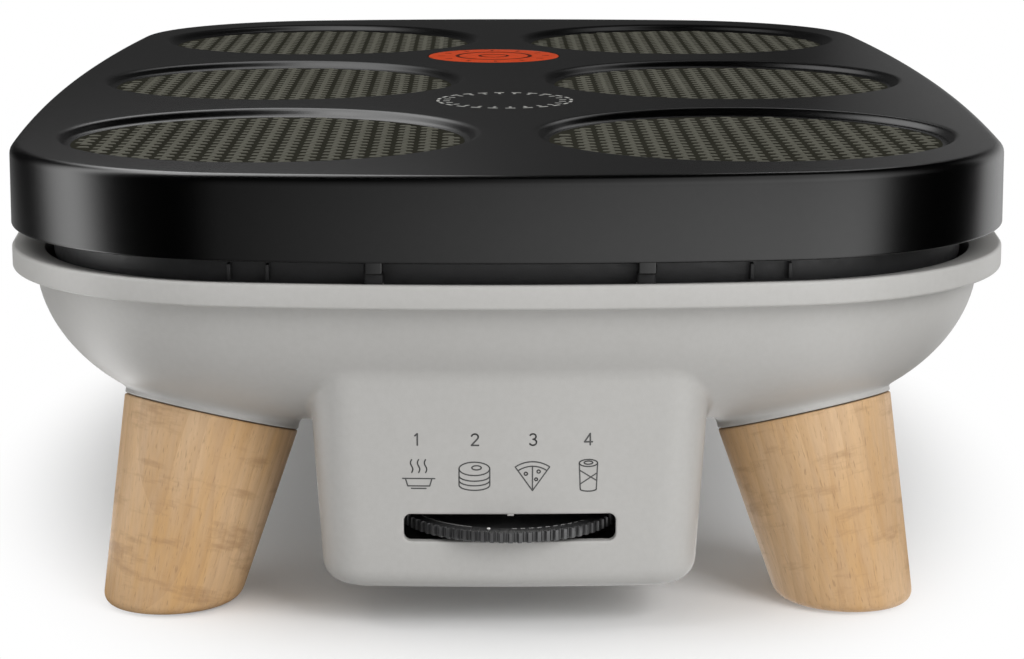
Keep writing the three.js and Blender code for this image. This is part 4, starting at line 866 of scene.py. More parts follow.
def surface_grain():
    """Node group for moulded, cast and painted skins: a fine even grain, broader mottling and slow
    patches, each from 0 to 1 over Object coordinates, with the grains per metre as its input."""
    group = bpy.data.node_groups.new("surface_grain", "ShaderNodeTree")
    for name, usual in (("Grains", 2000.0), ("Patches", 20.0)):
        group.interface.new_socket(name, in_out="INPUT", socket_type="NodeSocketFloat").default_value = usual
    for name in ("Grain", "Mottle", "Patch"):
        group.interface.new_socket(name, in_out="OUTPUT", socket_type="NodeSocketFloat")
    grains, patches = (add_node(group, "NodeGroupInput", output=name) for name in ("Grains", "Patches"))
    place = add_node(group, "TexCoord", output="Object")
    out = add_node(group, "NodeGroupOutput")
    broad = maths(group, "MULTIPLY", grains, mottle_scale)
    for name, scale, detail in (("Grain", grains, 1.0), ("Mottle", broad, 2.0), ("Patch", patches, 3.0)):
        noise = add_node(group, "TexNoise", {"Vector": place, "Scale": scale, "Detail": detail})
        group.links.new(ranged(group, noise, 0.32, 0.68), out.inputs[name])
    return group


grain_group = surface_grain()


def mixed(tree, share, first, second):
    """A colour between two colours, by the share of the second."""
    return add_node(tree, "Mix", {"Factor": share, 6: first, 7: second}, 2, data_type="RGBA")


def grained(name, dark, light, rough, grains, depth, patches=20.0, **plain):
    """A material whose colour runs from dark to light over patches and mottling, whose roughness lies
    between two values over its mottling, and whose grain stands up by a depth. plain sets other sockets."""
    material, tree, shader = new_material(name)
    for socket, value in plain.items():
        shader.inputs[socket.replace("_", " ")].default_value = value
    grain, mottle, patch = add_node(tree, "Group", {"Grains": grains, "Patches": patches},
                                    node_tree=grain_group).node.outputs
    share = add_node(tree, "Mix", {"Factor": mottle_share, 2: patch, 3: mottle})
    tree.links.new(mixed(tree, share, (*dark, 1.0), (*light, 1.0)), shader.inputs["Base Color"])
    tree.links.new(ranged(tree, mottle, 0.0, 1.0, *rough), shader.inputs["Roughness"])
    tree.links.new(add_node(tree, "Bump", {"Height": grain, "Distance": depth}), shader.inputs["Normal"])
    return material


shell_finish = grained("shell_plastic", (0.459, 0.452, 0.435), (0.492, 0.485, 0.469), (0.42, 0.5), 3500.0,
                       0.008 * mm)
add_piece("base_shell_moulding", [*base_shell_parts(), *shell_extras], shell_finish, "base", "shell",
          "base_shell")

# Legs: four turned cones of pale oak, cut level at the foot and lightly oiled. Each is drawn up against
# its collar by a steel bolt and stands on a rubber pad let into its foot.
leg_taper = 0.114
leg_foot_edge, leg_foot_gap = 3 * mm, 0.6 * mm
leg_top_edge, joint_gap = 0.6 * mm, 0.3 * mm
leg_steps = 128
pad_radius, pad_height = 12 * mm, 2 * mm
bolt_depth = 26.3 * mm
grain_bend, rings_per_metre = 0.035, 200.0


def foot_of(sign):
    """Where a leg's axis meets the floor."""
    return np.array(sign) * (np.array([leg_x, leg_y]) + leg_joint_z * np.array(leg_splay))


def leg_surface(sign):
    """The cone in a leg's own measure: down the axis the radius shrinks by the taper. The foot's rings are
    cut where level planes meet the cone, drawn in by edge * (1 - cos) at edge * (1 - sin) over the cut."""
    centre, axis, spokes = leg_frame(sign, leg_steps)
    fall = -(axis + leg_taper * spokes)
    top = rounded([(bolt_hole, bolt_depth, 0), (bolt_hole, joint_gap, 0),
                   (leg_top_radius, joint_gap, leg_top_edge),
                   (leg_top_radius - leg_taper * 2 * mm, 2 * mm, 0)], 4)
    rows = [np.tile(centre - bolt_depth * axis, (leg_steps, 1))]
    rows += [centre + radius * spokes - depth * axis for radius, depth in top]
    start = centre + spokes * leg_top_radius
    turn = np.linspace(0, math.pi / 2, 8)
    insets, heights = leg_foot_edge * (1 - np.cos(turn)), leg_foot_gap + leg_foot_edge * (1 - np.sin(turn))
    foot = []
    for inset, height in zip(insets, heights):
        cone = start + fall * ((height - start[:, 2]) / fall[:, 2])[:, None]
        foot.append(at_height(cone[:, :2] - spokes[:, :2] * inset, height))
    rows += [*np.linspace(rows[-1], foot[0], 12)[1:-1], *foot]
    recess_radius, recess_top = pad_radius + joint_gap, pad_height + joint_gap
    recess = ((recess_radius, leg_foot_gap), (recess_radius, recess_top), (0.0, recess_top))
    rows += [at_height(foot_of(sign) + radius * unit(spokes[:, :2]), height) for radius, height in recess]
    return strip(rows)


def wood_finish():
    """Oak by a leg's own measure, kept in an attribute: growth rings are shells round a far pith, bent by
    slow noise; fibres and pores are noise drawn out along the axis; faint dark figure lies across it."""
    material, tree, shader = new_material("leg_oak")
    place = add_node(tree, "Attribute", output="Vector", attribute_name="grain_place")

    def noise(scale, detail, along, across=1.0, rough=0.5):
        """Noise over places scaled along and across the axis, drawn out where the scale is low."""
        drawn = add_node(tree, "VectorMath", {0: place, 1: (across, across, along)}, operation="MULTIPLY")
        inputs = {"Vector": drawn, "Scale": scale, "Detail": detail, "Roughness": rough}
        return add_node(tree, "TexNoise", inputs)

    x, y = (add_node(tree, "SeparateXYZ", {0: place}, output=i) for i in (0, 1))
    x, y = (maths(tree, "POWER", value, 2.0) for value in (x, y))
    from_pith = maths(tree, "SQRT", maths(tree, "ADD", x, y))
    bent = maths(tree, "MULTIPLY_ADD", noise(16.0, 2.0, 0.45), grain_bend, from_pith)
    late = ranged(tree, maths(tree, "FRACT", maths(tree, "MULTIPLY", bent, rings_per_metre)), 0.35, 1.0)
    patch = ranged(tree, noise(38.0, 2.0, 0.35), 0.36, 0.64)
    figure = ranged(tree, noise(105.0, 4.0, 1.9, 0.45, 0.62), 0.54, 0.7)
    fibre = ranged(tree, noise(1500.0, 2.0, 0.025), 0.3, 0.7)
    pore = ranged(tree, noise(2600.0, 1.0, 0.05), 0.62, 0.74)
    streak = ranged(tree, noise(420.0, 2.0, 0.02), 0.35, 0.65)
    colour = mixed(tree, patch, (0.615, 0.372, 0.163, 1.0), (0.725, 0.505, 0.302, 1.0))
    for mask, least, most, tone in ((late, 0.0, 0.38, (0.47, 0.275, 0.125, 1.0)),
                                    (streak, 0.0, 0.4, (0.6, 0.42, 0.27, 1.0)),
                                    (fibre, 0.16, 0.0, (0.36, 0.2, 0.09, 1.0)),
                                    (figure, 0.0, 0.5, (0.34, 0.19, 0.085, 1.0)),
                                    (pore, 0.0, 0.35, (0.24, 0.13, 0.06, 1.0))):
        colour = mixed(tree, ranged(tree, mask, 0.0, 1.0, least, most), colour, tone)
    bump = add_node(tree, "Bump", {"Height": maths(tree, "MULTIPLY_ADD", pore, -1.5, fibre),
                                   "Distance": 0.05 * mm, "Strength": 0.6})
    tree.links.new(colour, shader.inputs["Base Color"])
    tree.links.new(ranged(tree, fibre, 0.0, 1.0, 0.58, 0.46), shader.inputs["Roughness"])
    tree.links.new(bump, shader.inputs["Normal"])
    shader.inputs["Specular IOR Level"].default_value = 0.4
    return material


oak = wood_finish()
rubber = grained("foot_rubber", (0.02, 0.02, 0.021), (0.034, 0.034, 0.035), (0.62, 0.75), 2500.0, 0.02 * mm)
pad_corners = [(0, 0, 0), (8.2 * mm, 0, 0), (8.6 * mm, 0.5 * mm, 0.2 * mm), (9.4 * mm, 0.5 * mm, 0.2 * mm),
               (9.8 * mm, 0, 0.2 * mm), (pad_radius, 0, 0.5 * mm), (pad_radius, pad_height, 0.3 * mm),
               (0, pad_height, 0)]
# Where each leg's own origin lies from its pith, in millimetres, so that no two legs show the same grain.
pith_places = {"front_left": (31, 47, 10), "front_right": (-38, 42, 230), "rear_left": (44, -30, 420),
               "rear_right": (-29, -50, 640)}
for corner_name, sign in leg_signs.items():
    leg = add_piece("turned_leg_" + corner_name, [leg_surface(sign)], oak, "base", "wood",
                    "leg_" + corner_name)
    centre, axis, spokes = leg_frame(sign, 4)
    places = np.empty(len(leg.data.vertices) * 3)
    leg.data.vertices.foreach_get("co", places)
    own = (places.reshape(-1, 3) - centre) @ np.column_stack([spokes[0], spokes[1], axis])
    own = own + np.array(pith_places[corner_name]) * mm
    leg.data.attributes.new("grain_place", "FLOAT_VECTOR", "POINT").data.foreach_set("vector", own.ravel())
    add_piece("rubber_foot_" + corner_name, [turned(pad_corners, foot_of(sign))], rubber, "base", "rubber",
              "foot_pad_" + corner_name)

# Cooking plate: an aluminium casting, coated black, that lifts off. A flat deck with six shallow recesses
# ends in a rounded edge and a skirt; lugs inside the skirt stand on four soft rests.
ink_rise = 0.03 * mm
plate_top = plate_high.z - ink_rise
skirt_draft, skirt_wall, plate_edge, skirt_edge = 0.2 * mm, 3.5 * mm, 3 * mm, 0.7 * mm
deck_under = plate_top - 6 * mm
lug_bottom, lug_half, lug_depth = plate_low.z, 2.5 * mm, 8 * mm
recess_lip, recess_floor, recess_depth = 63 * mm, 57.5 * mm, 2.5 * mm
recess_floor_z = plate_top - recess_depth
row_pitch = half_length - 90.7 * mm
middle_row_x = half_width - 74 * mm
end_row_x = middle_row_x - 5.4 * mm
recesses = [np.array([side * (end_row_x if row else middle_row_x), row * row_pitch])
            for side in (-1, 1) for row in (-1, 0, 1)]
disc_low, disc_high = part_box("heat_indicator_disc")
disc_place = box_middle(disc_low, disc_high)
disc_radius = (disc_high.x - disc_low.x) / 2
disc_pocket, pocket_z = disc_radius + 0.3 * mm, plate_top - 1.1 * mm


def front_edge_y(across, inset):
    """How far the end arc, drawn in by an inset, lies from the middle of the object at a distance across."""
    return end_centre[1] + math.sqrt((end_radius - inset) ** 2 - across ** 2)


def recess_rows(place):
    """A recess from its lip to its floor: a wall at 45 degrees between two broad roundings."""
    profile = rounded([(recess_lip, plate_top, 0), (recess_lip - 1.6 * mm, plate_top, 3.2 * mm),
                       (recess_floor + 1.4 * mm, recess_floor_z, 3 * mm),
                       (recess_floor - 1 * mm, recess_floor_z, 0), (0, recess_floor_z, 0)], 8)
    return rings_at(place, profile, 128)


def plate_parts():
    """The deck with its recesses and the disc's pocket, the rounded edge, the skirt and the underside."""
    loop = PlanLoop(40, 44, 22)
    inner = skirt_draft + skirt_wall
    rows = loop.rows(rounded([(plate_edge + 1.2 * mm, plate_top, 0), (skirt_draft, plate_top, plate_edge),
                              (0, skirt_bottom, skirt_edge), (inner, skirt_bottom, skirt_edge),
                              (inner, deck_under, 3 * mm), (inner + 4.5 * mm, deck_under, 0)], 7))
    recess_sets = [recess_rows(place) for place in recesses]
    pocket_corners = [(disc_pocket + 0.5 * mm, plate_top, 0), (disc_pocket, plate_top, 0.15 * mm),
                      (disc_pocket, pocket_z, 0), (0, pocket_z, 0)]
    pocket = rings_at(disc_place, rounded(pocket_corners, 3), 96)
    supports = [ring_at(place, recess_lip + 0.8 * mm, plate_top, 128) for place in recesses]
    deck = filled(rows[0], [pocket[0], *(rings[0] for rings in recess_sets)],
                  np.vstack([*supports, loop.ring(plate_edge + 2.2 * mm, plate_top)]), margin=0.5 * mm)
    under = filled(rows[-1], [], loop.ring(inner + 6 * mm, deck_under))
    parts = [strip(rows), deck, under, strip(pocket), *(strip(rings) for rings in recess_sets)]
    outer = front_edge_y(stub_x, inner) + 1 * mm
    parts += [corner_block(sign, (stub_x - lug_half, outer - lug_depth, lug_bottom),
                           (stub_x + lug_half, outer, deck_under + 1 * mm), 0.6 * mm)
              for sign in leg_signs.values()]
    return parts


floor_coat = grained("recess_floors", (0.021, 0.0205, 0.0155), (0.028, 0.0275, 0.021), (0.5, 0.56), 2600.0,
                     0.003 * mm, Specular_IOR_Level=0.0)
black_coat = grained("plate_coating", (0.044, 0.044, 0.044), (0.047, 0.047, 0.0468), (0.235, 0.25), 3200.0,
                     0.003 * mm, Metallic=1.0)
cast_plate = add_piece("coated_cooking_plate", plate_parts(), black_coat, "plate", "cast_plate",
                       "cooking_plate")
cast_plate.data.materials.append(floor_coat)
face_middles = np.empty(len(cast_plate.data.polygons) * 3)
cast_plate.data.polygons.foreach_get("center", face_middles)
face_middles = face_middles.reshape(-1, 3)
from_recess = np.hypot(*(face_middles[:, None, :2] - np.array(recesses)[None]).transpose(2, 0, 1)).min(axis=1)
on_floor = (from_recess < recess_floor) & (np.abs(face_middles[:, 2] - recess_floor_z) < 0.1 * mm)
cast_plate.data.polygons.foreach_set("material_index", on_floor.astype(np.int32))

# Pattern in the recesses: low cast pips that keep the batter from sticking. Each is a short bar; they stand
# in columns, shifted left and right in turn, on a floor with an olive tinge.
pip_column, pip_row, pip_shift = 6.7 * mm, 3.2 * mm, 0.9 * mm
pip_half, pip_height, pip_foot = np.array([1.75, 0.85]) * mm, 0.28 * mm, 0.1 * mm
pip_sides, pip_taper, pip_margin = 8, 0.72, 0.3 * mm


def pips_of(place):
    """The bars of one recess: columns pip_column apart, bars pip_row apart, every second bar shifted."""
    columns, rows = np.meshgrid(np.arange(-8, 9), np.arange(-18, 19))
    x = columns.ravel() * pip_column + np.where(rows.ravel() % 2 == 0, pip_shift, -pip_shift)
    y = (rows.ravel() + 0.5 * (columns.ravel() % 2)) * pip_row
    keep = np.hypot(np.abs(x) + pip_half[0], np.abs(y) + pip_half[1]) < recess_floor - pip_margin
    return np.column_stack([x[keep], y[keep]]) + place


def pip_bars():
    """All bars as whole arrays: an eight-sided foot and a smaller flat top. A side's corner lies at the
    0.6th power of its angle's cosine and sine, which draws the eight sides out to a bar."""
    round_shape = spokes_at(around(pip_sides) + math.pi / pip_sides)
    shape = np.sign(round_shape) * np.abs(round_shape) ** 0.6
    shape = shape / np.abs(shape).max(axis=0)
    places = np.vstack([pips_of(place) for place in recesses])
    levels = [(1.0, recess_floor_z - pip_foot), (1.0, recess_floor_z + pip_foot),
              (pip_taper, recess_floor_z + pip_height)]
    rings = [at_height((places[:, None] + shape * scale * pip_half).reshape(-1, 2), z)
             .reshape(len(places), pip_sides, 3) for scale, z in levels]
    points = np.concatenate(rings, axis=1).reshape(-1, 3)
    corner = np.arange(pip_sides)
    after = (corner + 1) % pip_sides
    side = np.column_stack([corner, after, after + pip_sides, corner + pip_sides])
    starts = np.arange(len(places))[:, None] * pip_sides * 3
    quads = np.vstack([side, side + pip_sides])[None] + starts[:, :, None]
    top, foot = corner + 2 * pip_sides + starts, corner[::-1] + starts
    return points, quads.reshape(-1, 4).tolist() + top.tolist() + foot.tolist()


def add_loose(name, points, faces, material, body, slot):
    """Makes a piece straight from its points and faces, which already point outwards."""
    return add_mesh(new_mesh(name, points, faces), material, body, slot)


pip_coat = grained("recess_pips", (0.086, 0.0845, 0.068), (0.109, 0.107, 0.087), (0.45, 0.55), 2600.0,
                   0.003 * mm, Specular_IOR_Level=0.02)
add_loose("recess_pips", *pip_bars(), pip_coat, "plate", "cast_plate")

# Heat indicator: an enamelled disc pressed into the deck between the middle and the rear recesses. Its
# print is generic, two rings and a row of even ticks.
disc_corners = [(0, disc_low.z, 0), (disc_radius, disc_low.z, 0.1 * mm), (disc_radius, plate_top, 0.2 * mm),
                (0, plate_top, 0)]
enamel = grained("indicator_enamel", (0.47, 0.046, 0.009), (0.54, 0.057, 0.012), (0.45, 0.55), 1600.0,
                 0.01 * mm, Specular_IOR_Level=0.03)
add_piece("enamelled_disc", [turned(disc_corners, disc_place, 96)], enamel, "plate", "indicator",
          "heat_indicator_disc")
ink_top, ink_thickness = plate_high.z, 0.04 * mm


def arc_marks(place, radius, width, starts, sweep, height, steps):
    """Flat printed arcs round a place: each is a band of the given width between its start angle and the
    start plus the sweep, in degrees."""
    share = np.radians(np.asarray(starts)[:, None] + np.linspace(0, sweep, steps + 1)[None])
    spoke = np.stack([np.cos(share), np.sin(share)], axis=-1)
    rows = [place + spoke * reach for reach in (radius - width / 2, radius + width / 2)]
    points = np.concatenate([np.stack([*np.moveaxis(row, -1, 0), np.full(share.shape, height)], axis=-1)
                             for row in rows], axis=1)
    low = np.arange(steps)
    quads = np.column_stack([low, low + steps + 1, low + steps + 2, low + 1])
    faces = quads[None] + np.arange(len(points))[:, None, None] * (2 * steps + 2)
    return points.reshape(-1, 3), faces.reshape(-1, 4)


def add_print(name, marks, material, body, slot):
    """Joins flat printed marks into one piece and gives the ink its thickness."""
    starts = np.cumsum([0, *(len(points) for points, _ in marks[:-1])])
    faces = [(np.asarray(face) + start).tolist() for (_, part), start in zip(marks, starts) for face in part]
    piece = add_loose(name, np.vstack([points for points, _ in marks]), faces, material, body, slot)
    ink = piece.modifiers.new("ink", "SOLIDIFY")
    ink.thickness, ink.offset = ink_thickness, -1.0


dark_ink = grained("indicator_ink", (0.045, 0.008, 0.004), (0.065, 0.011, 0.006), (0.45, 0.55), 2000.0,
                   0.005 * mm, Specular_IOR_Level=0.03)
disc_marks = [arc_marks(disc_place, 13.6 * mm, 1.5 * mm, [0], 360, ink_top, 72),
              arc_marks(disc_place, 5.2 * mm, 1.2 * mm, [0], 360, ink_top, 48),
              arc_marks(disc_place, 19.4 * mm, 2.6 * mm, np.arange(0, 360, 30), 3.0, ink_top, 1)]
add_print("indicator_print", disc_marks, dark_ink, "plate", "indicator")

# Print on the deck: a ring of even pale dashes between the two columns of recesses, in front of the disc,
# and a short tick inside each dash.
pale_ink = grained("deck_ink", (0.36, 0.36, 0.34), (0.46, 0.46, 0.44), (0.45, 0.55), 2000.0, 0.005 * mm,
                   Specular_IOR_Level=0.1)
deck_ring = np.array([0.1 * mm, -65 * mm])
deck_marks = [arc_marks(deck_ring, 21.6 * mm, 1.0 * mm, np.arange(0, 360, 15), 8.5, ink_top, 6),
              arc_marks(deck_ring, 18.9 * mm, 2.2 * mm, np.arange(3.4, 363, 15), 2.6, ink_top, 1)]
add_print("deck_print", deck_marks, pale_ink, "plate", "cast_plate")

# Thumb wheel: a black moulded wheel that looks out of the window. Its rim carries coarse ribs, each with a
# fine one beside it, and on top a white dot and a painted highlight in pale ink: a thin line along the rim's
# top edge that breaks up into dashes, where light catches the edge.
wheel_low, wheel_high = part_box("thumb_wheel")
wheel_place = np.array([0.0, wheel_y])
wheel_radius, wheel_rim_radius, wheel_hub_radius = 31.2 * mm, 27.6 * mm, 7 * mm
rib_low, rib_high = wheel_low.z, wheel_low.z + 3 * mm
wheel_rim_top = rib_high + 0.4 * mm
web_low, web_high = wheel_low.z + 0.4 * mm, wheel_low.z + 2.2 * mm
rib_count, rib_steps, rib_depth = 75, 12, 0.95 * mm
# A rib's middle and half width as shares of the pitch, the width of its flank, and its height.
wide_rib, fine_rib = (0.3, 0.27, 0.07, 1.0), (0.79, 0.08, 0.05, 0.4)
spindle_hole = 3.3 * mm
dot_bearing, dot_radius, dot_top = -11.9, 0.5 * mm, wheel_rim_top + 0.12 * mm


def wheel_parts():
    """The wheel by rings: the rim's radius falls by rib_depth in the valleys between the ribs, where a
    lower rib stands, and the ribs fade out over both edges of the rim."""
    count = rib_count * rib_steps
    angle = around(count)
    phase = (angle * rib_count / (2 * math.pi)) % 1.0
    ribs = [np.clip((half - np.abs(phase - middle)) / flank, 0, 1) * height
            for middle, half, flank, height in (wide_rib, fine_rib)]
    valley = 1 - np.maximum(*ribs)
    spokes = at_height(spokes_at(angle), 0.0)
    inner_rim = wheel_rim_radius - 1 * mm
    profile = rounded([(spindle_hole, wheel_low.z, 0), (wheel_hub_radius, wheel_low.z, 0.2 * mm),
                       (wheel_hub_radius, web_low, 0.2 * mm), (inner_rim, web_low, 0.3 * mm),
                       (inner_rim, rib_low, 0.2 * mm), (wheel_radius, rib_low, 0.3 * mm),
                       (wheel_radius, rib_high, 0.3 * mm), (wheel_rim_radius, wheel_rim_top, 0.15 * mm),
                       (wheel_rim_radius - 0.5 * mm, web_high, 0.2 * mm),
                       (wheel_hub_radius, web_high, 0.3 * mm), (wheel_hub_radius, wheel_high.z, 0.3 * mm),
                       (spindle_hole, wheel_high.z, 0.2 * mm), (spindle_hole, wheel_low.z, 0)], 3)
    rows = []
    for radius, height in profile:
        ribbed = np.clip((radius - wheel_radius + 1.2 * mm) / (0.9 * mm), 0, 1)
        reach = radius - rib_depth * valley * ribbed
        rows.append(np.array([*wheel_place, 0.0]) + reach[:, None] * spokes + [0, 0, height])
    return [strip(rows)]


wheel_plastic = grained("wheel_plastic", (0.03, 0.03, 0.031), (0.042, 0.042, 0.043), (0.28, 0.36), 3000.0,
                        0.004 * mm, Specular_IOR_Level=1.0)
add_piece("ribbed_thumb_wheel", wheel_parts(), wheel_plastic, "thumb_wheel", "wheel", "thumb_wheel",
          smooth_angle=28.0)
# Pale ink that stands in for light: the line and the dashes below are a painted highlight along the rim's top
# edge.
highlight_ink_finish = grained("wheel_edge_painted_highlight", (0.34, 0.34, 0.33), (0.46, 0.46, 0.45), (0.45, 0.55), 2000.0,
                    0.004 * mm)
highlight_radius = wheel_rim_radius + 0.45 * mm
glint_starts = np.arange(dot_bearing + 13, dot_bearing + 60, 4.8) - 90
highlight_start = dot_bearing - 48 - 90
highlight_marks = [arc_marks(wheel_place, highlight_radius, 0.28 * mm, [highlight_start], 38, wheel_rim_top, 40),
               arc_marks(wheel_place, highlight_radius, 0.34 * mm, glint_starts, 2.6, wheel_rim_top, 4)]
add_print("wheel_rim_painted_highlight", highlight_marks, highlight_ink_finish, "thumb_wheel", "wheel")
dot_white = grained("wheel_dot_ink", (0.8, 0.8, 0.78), (0.86, 0.86, 0.84), (0.4, 0.5), 2000.0, 0.004 * mm)
dot_turn = math.radians(dot_bearing - 90)
dot_place = wheel_place + (wheel_rim_radius + 0.7 * mm) * np.array([math.cos(dot_turn), math.sin(dot_turn)])
dot_corners = [(0, rib_high, 0), (dot_radius, rib_high, 0), (0.45 * mm, dot_top, 0.1 * mm), (0, dot_top, 0)]
add_piece("wheel_pointer_dot", [turned(dot_corners, dot_place, 24)], dot_white, "thumb_wheel", "wheel")

# Box cover: a flat lid of the same grey plastic in the rebate under the control box, held by four
# cross-recessed screws. A cup on its upper side carries the wheel's spindle.
cup_radius, cup_bore = 6 * mm, 3.3 * mm
cover_gap, cover_edge = 0.3, 0.5
cover_head_radius, cover_shank_radius, cover_head_z = 2.9 * mm, 1.4 * mm, box_bottom - 0.3 * mm
screw_finish = grained("zinc_screws", (0.50, 0.50, 0.49), (0.62, 0.62, 0.61), (0.26, 0.36), 2500.0,
                       0.004 * mm, Metallic=1.0)


def cover_parts():
    """The lid's faces, its rounded lower edge, its screw holes, and the cup's wall and bore."""
    top = box_bottom + cover_thickness
    rim = [cover_outline(cover_margin + (cover_gap + cover_edge * (1 - math.cos(turn))) * mm,
                         box_bottom + cover_edge * mm * (1 - math.sin(turn)))
           for turn in np.linspace(math.pi / 2, 0, 5)]
    rim.append(cover_outline(cover_margin + cover_gap * mm, top))
    low_holes, high_holes = screw_rings(box_bottom), screw_rings(top)
    cup_corners = [(cup_radius, top, 0), (cup_radius, cover_high.z, 0.4 * mm),
                   (cup_bore, cover_high.z, 0.3 * mm), (cup_bore, top, 0), (0, top, 0)]
    cup = rings_at(wheel_place, rounded(cup_corners, 3), 48)
    support = cover_outline(cover_margin + 1.3 * mm, box_bottom)
    return [strip(rim), filled(rim[0], low_holes, support), filled(rim[-1], [*high_holes, cup[0]]),
            strip(cup), *bores(low_holes, high_holes)]


def pan_screw(place, up, head_radius, head_height, shank_radius, length):
    """A pan-head screw whose head's seat is at the place and whose shank points up. The head is domed, and
    a cross is sunk into it where two slots, crossing at right angles, pass within a narrow band."""
    count = 48
    axis = unit(np.array(up, float))
    across = unit(np.cross([0.0, 1.0, 0.0], axis))
    spokes = circle(across, np.cross(axis, across), count)
    angle = around(count)
    rows = [np.tile(np.array(place) + axis * length, (count, 1))]
    levels = ((shank_radius * 0.6, length), (shank_radius, length - shank_radius), (shank_radius, 0.0),
              (head_radius, 0.0), (head_radius, -head_height * 0.45))
    rows += [np.array(place) + spokes * radius + axis * rise for radius, rise in levels]
    for share in (0.9, 0.76, 0.66, 0.56, 0.44, 0.32, 0.2, 0.1, 0.0):
        radius = head_radius * share
        off = np.minimum(np.abs(np.sin(angle)), np.abs(np.cos(angle))) * radius
        sunk = np.clip((head_radius * 0.14 - off) / (head_radius * 0.05), 0, 1) * (share < 0.6)
        dome = head_height * (1 - 0.5 * share ** 2.4)
        rows.append(np.array(place) + spokes * radius - axis * (dome - sunk * head_height * 0.55)[:, None])
    return strip(rows)


add_piece("box_cover_lid", cover_parts(), shell_finish, "base", "shell", "control_box_cover")
for corner_name, place in screw_places.items():
    screw_foot, screw_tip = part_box("cover_screw_" + corner_name)
    screw = pan_screw((*place, cover_head_z), (0, 0, 1), cover_head_radius, cover_head_z - screw_foot.z,
                      cover_shank_radius, screw_tip.z - cover_head_z)
    add_piece("cross_screw_" + corner_name, [screw], screw_finish, "base", "steel",
              "cover_screw_" + corner_name)

# Print on the control box: dark grey numbers 1 to 4 over four plain line drawings of warm, stacked, folded
# and rolled crepes, and a small notch on the window's upper edge that the dot is set against.
digit_width, line_width = 0.45 * mm, 0.36 * mm
print_height = 0.05 * mm
bead_sides = 8


def stroke(points, width):
    """A drawn line on the box's face: a flat band along the points, in millimetres across and up, with a
    round bead at every point so that its corners and ends are full."""
    path = np.array(points, float) * mm
    step = np.diff(path, axis=0)
    side = np.column_stack([-step[:, 1], step[:, 0]]) / np.hypot(*step.T)[:, None] * width / 2
    bands = np.stack([path[:-1] + side, path[:-1] - side, path[1:] - side, path[1:] + side], axis=1)
    beads = path[:, None] + width / 2 * spokes_at(around(bead_sides))
    flat = np.vstack([bands.reshape(-1, 2), beads.reshape(-1, 2)])
    quads = np.arange(len(bands) * 4).reshape(-1, 4)
    rounds = np.arange(len(beads) * bead_sides).reshape(-1, bead_sides) + len(quads) * 4
    return on_box_face(flat[:, 0], flat[:, 1], print_height), quads.tolist() + rounds.tolist()


def curve(across, up, start, stop, steps=14, middle=(0, 0)):
    """Points of an ellipse's arc from one angle to another, in degrees, about its middle."""
    angle = np.radians(np.linspace(start, stop, steps + 1))
    return np.column_stack([across * np.cos(angle), up * np.sin(angle)]) + middle


# Each drawing's lines about its own middle, in millimetres. The numbers are 3.2 mm high; the two, the three
# and the four are arcs and straight lines.
wave = np.linspace(0, 2 * math.pi, 14)
numerals = [[[(-0.55, 1.05), (0.1, 1.6), (0.1, -1.6)]],
            [[*curve(0.92, 0.82, 165, -35, 14, (0, 0.78)), (-0.95, -1.6), (1.0, -1.6)]],
            [curve(0.85, 0.75, 150, -85, 14, (0, 0.85)), curve(0.98, 0.86, 88, -150, 14, (0, -0.74))],
            [[(0.5, -1.6), (0.5, 1.6), (-1.05, -0.75), (1.1, -0.75)]]]
warm_dish = [*(np.column_stack([0.32 * np.sin(wave) + x, 0.3 + wave * 0.58]) for x in (-1.9, 0.0, 1.9)),
             [(-4.4, -1.4), (4.4, -1.4)], [(-3.6, -1.5), (-3.0, -3.5), (3.0, -3.5), (3.6, -1.5)],
             [(-2.0, -4.2), (2.0, -4.2)]]
stacked_rounds = [curve(4.2, 1.9, 0, 360, 28, (0, 2.0)),
                  *(curve(4.2, 1.5, 188, 352, 14, (0, 1.3 - drop)) for drop in (1.3, 2.6, 3.9)),
                  curve(1.3, 0.6, 0, 360, 16, (0.6, 2.3)),
                  [(-4.2, 2.0), (-4.2, -2.6)], [(4.2, 2.0), (4.2, -2.6)]]
folded_wedge = [[(0, -4.2), *curve(8.2, 8.2, 55, 125, 14, (0, -4.2)), (0, -4.2)],
                curve(6.9, 6.9, 57, 123, 14, (0, -4.2)), [(0, -4.2), (0.0, 2.7)],
                curve(0.45, 0.45, 0, 360, 10, (-1.8, 0.6)), curve(0.45, 0.45, 0, 360, 10, (1.7, 1.2)),
                curve(0.4, 0.4, 0, 360, 10, (1.0, -1.0))]
rolled_wrap = [[(-2.5, 3.4), *curve(2.2, 0.6, 180, 360, 14, (0, -4.0)), (2.5, 3.4)],
               curve(2.5, 1.0, 0, 360, 22, (0, 3.4)), [(-2.45, 1.4), (2.3, -1.6)], [(2.4, 0.6), (-2.3, -2.6)],
               curve(1.2, 0.45, 0, 360, 14, (0, 3.5))]
numeral_up, numeral_places = 55.55, (-25.35, -9.54, 6.28, 21.43)
drawings = [*((lines, (across, numeral_up), digit_width) for lines, across in zip(numerals, numeral_places)),
            (warm_dish, (-24.94, 45.9), line_width), (stacked_rounds, (-9.7, 45.3), line_width),
            (folded_wedge, (6.17, 45.3), line_width), (rolled_wrap, (21.48, 45.4), line_width)]
face_marks = [stroke(np.array(line, float) + place, width)
              for lines, place, width in drawings for line in lines]
face_ink = grained("box_ink", (0.060, 0.060, 0.060), (0.080, 0.080, 0.078), (0.45, 0.55), 2000.0, 0.004 * mm)
add_print("box_print", face_marks, face_ink, "base", "shell")
notch_x, notch_half, notch_up = 0.2 * mm, 0.9 * mm, 0.5 * mm
notch_y = on_box_face(np.zeros(1), np.array([window_high]))[0, 1]
notch = soft_block((notch_x - notch_half, notch_y + 0.15 * mm, window_high - notch_up),
                   (notch_x + notch_half, notch_y + 1.6 * mm, window_high + notch_up), 0.2 * mm)
add_piece("window_index_notch", [notch], shell_finish, "base", "shell")

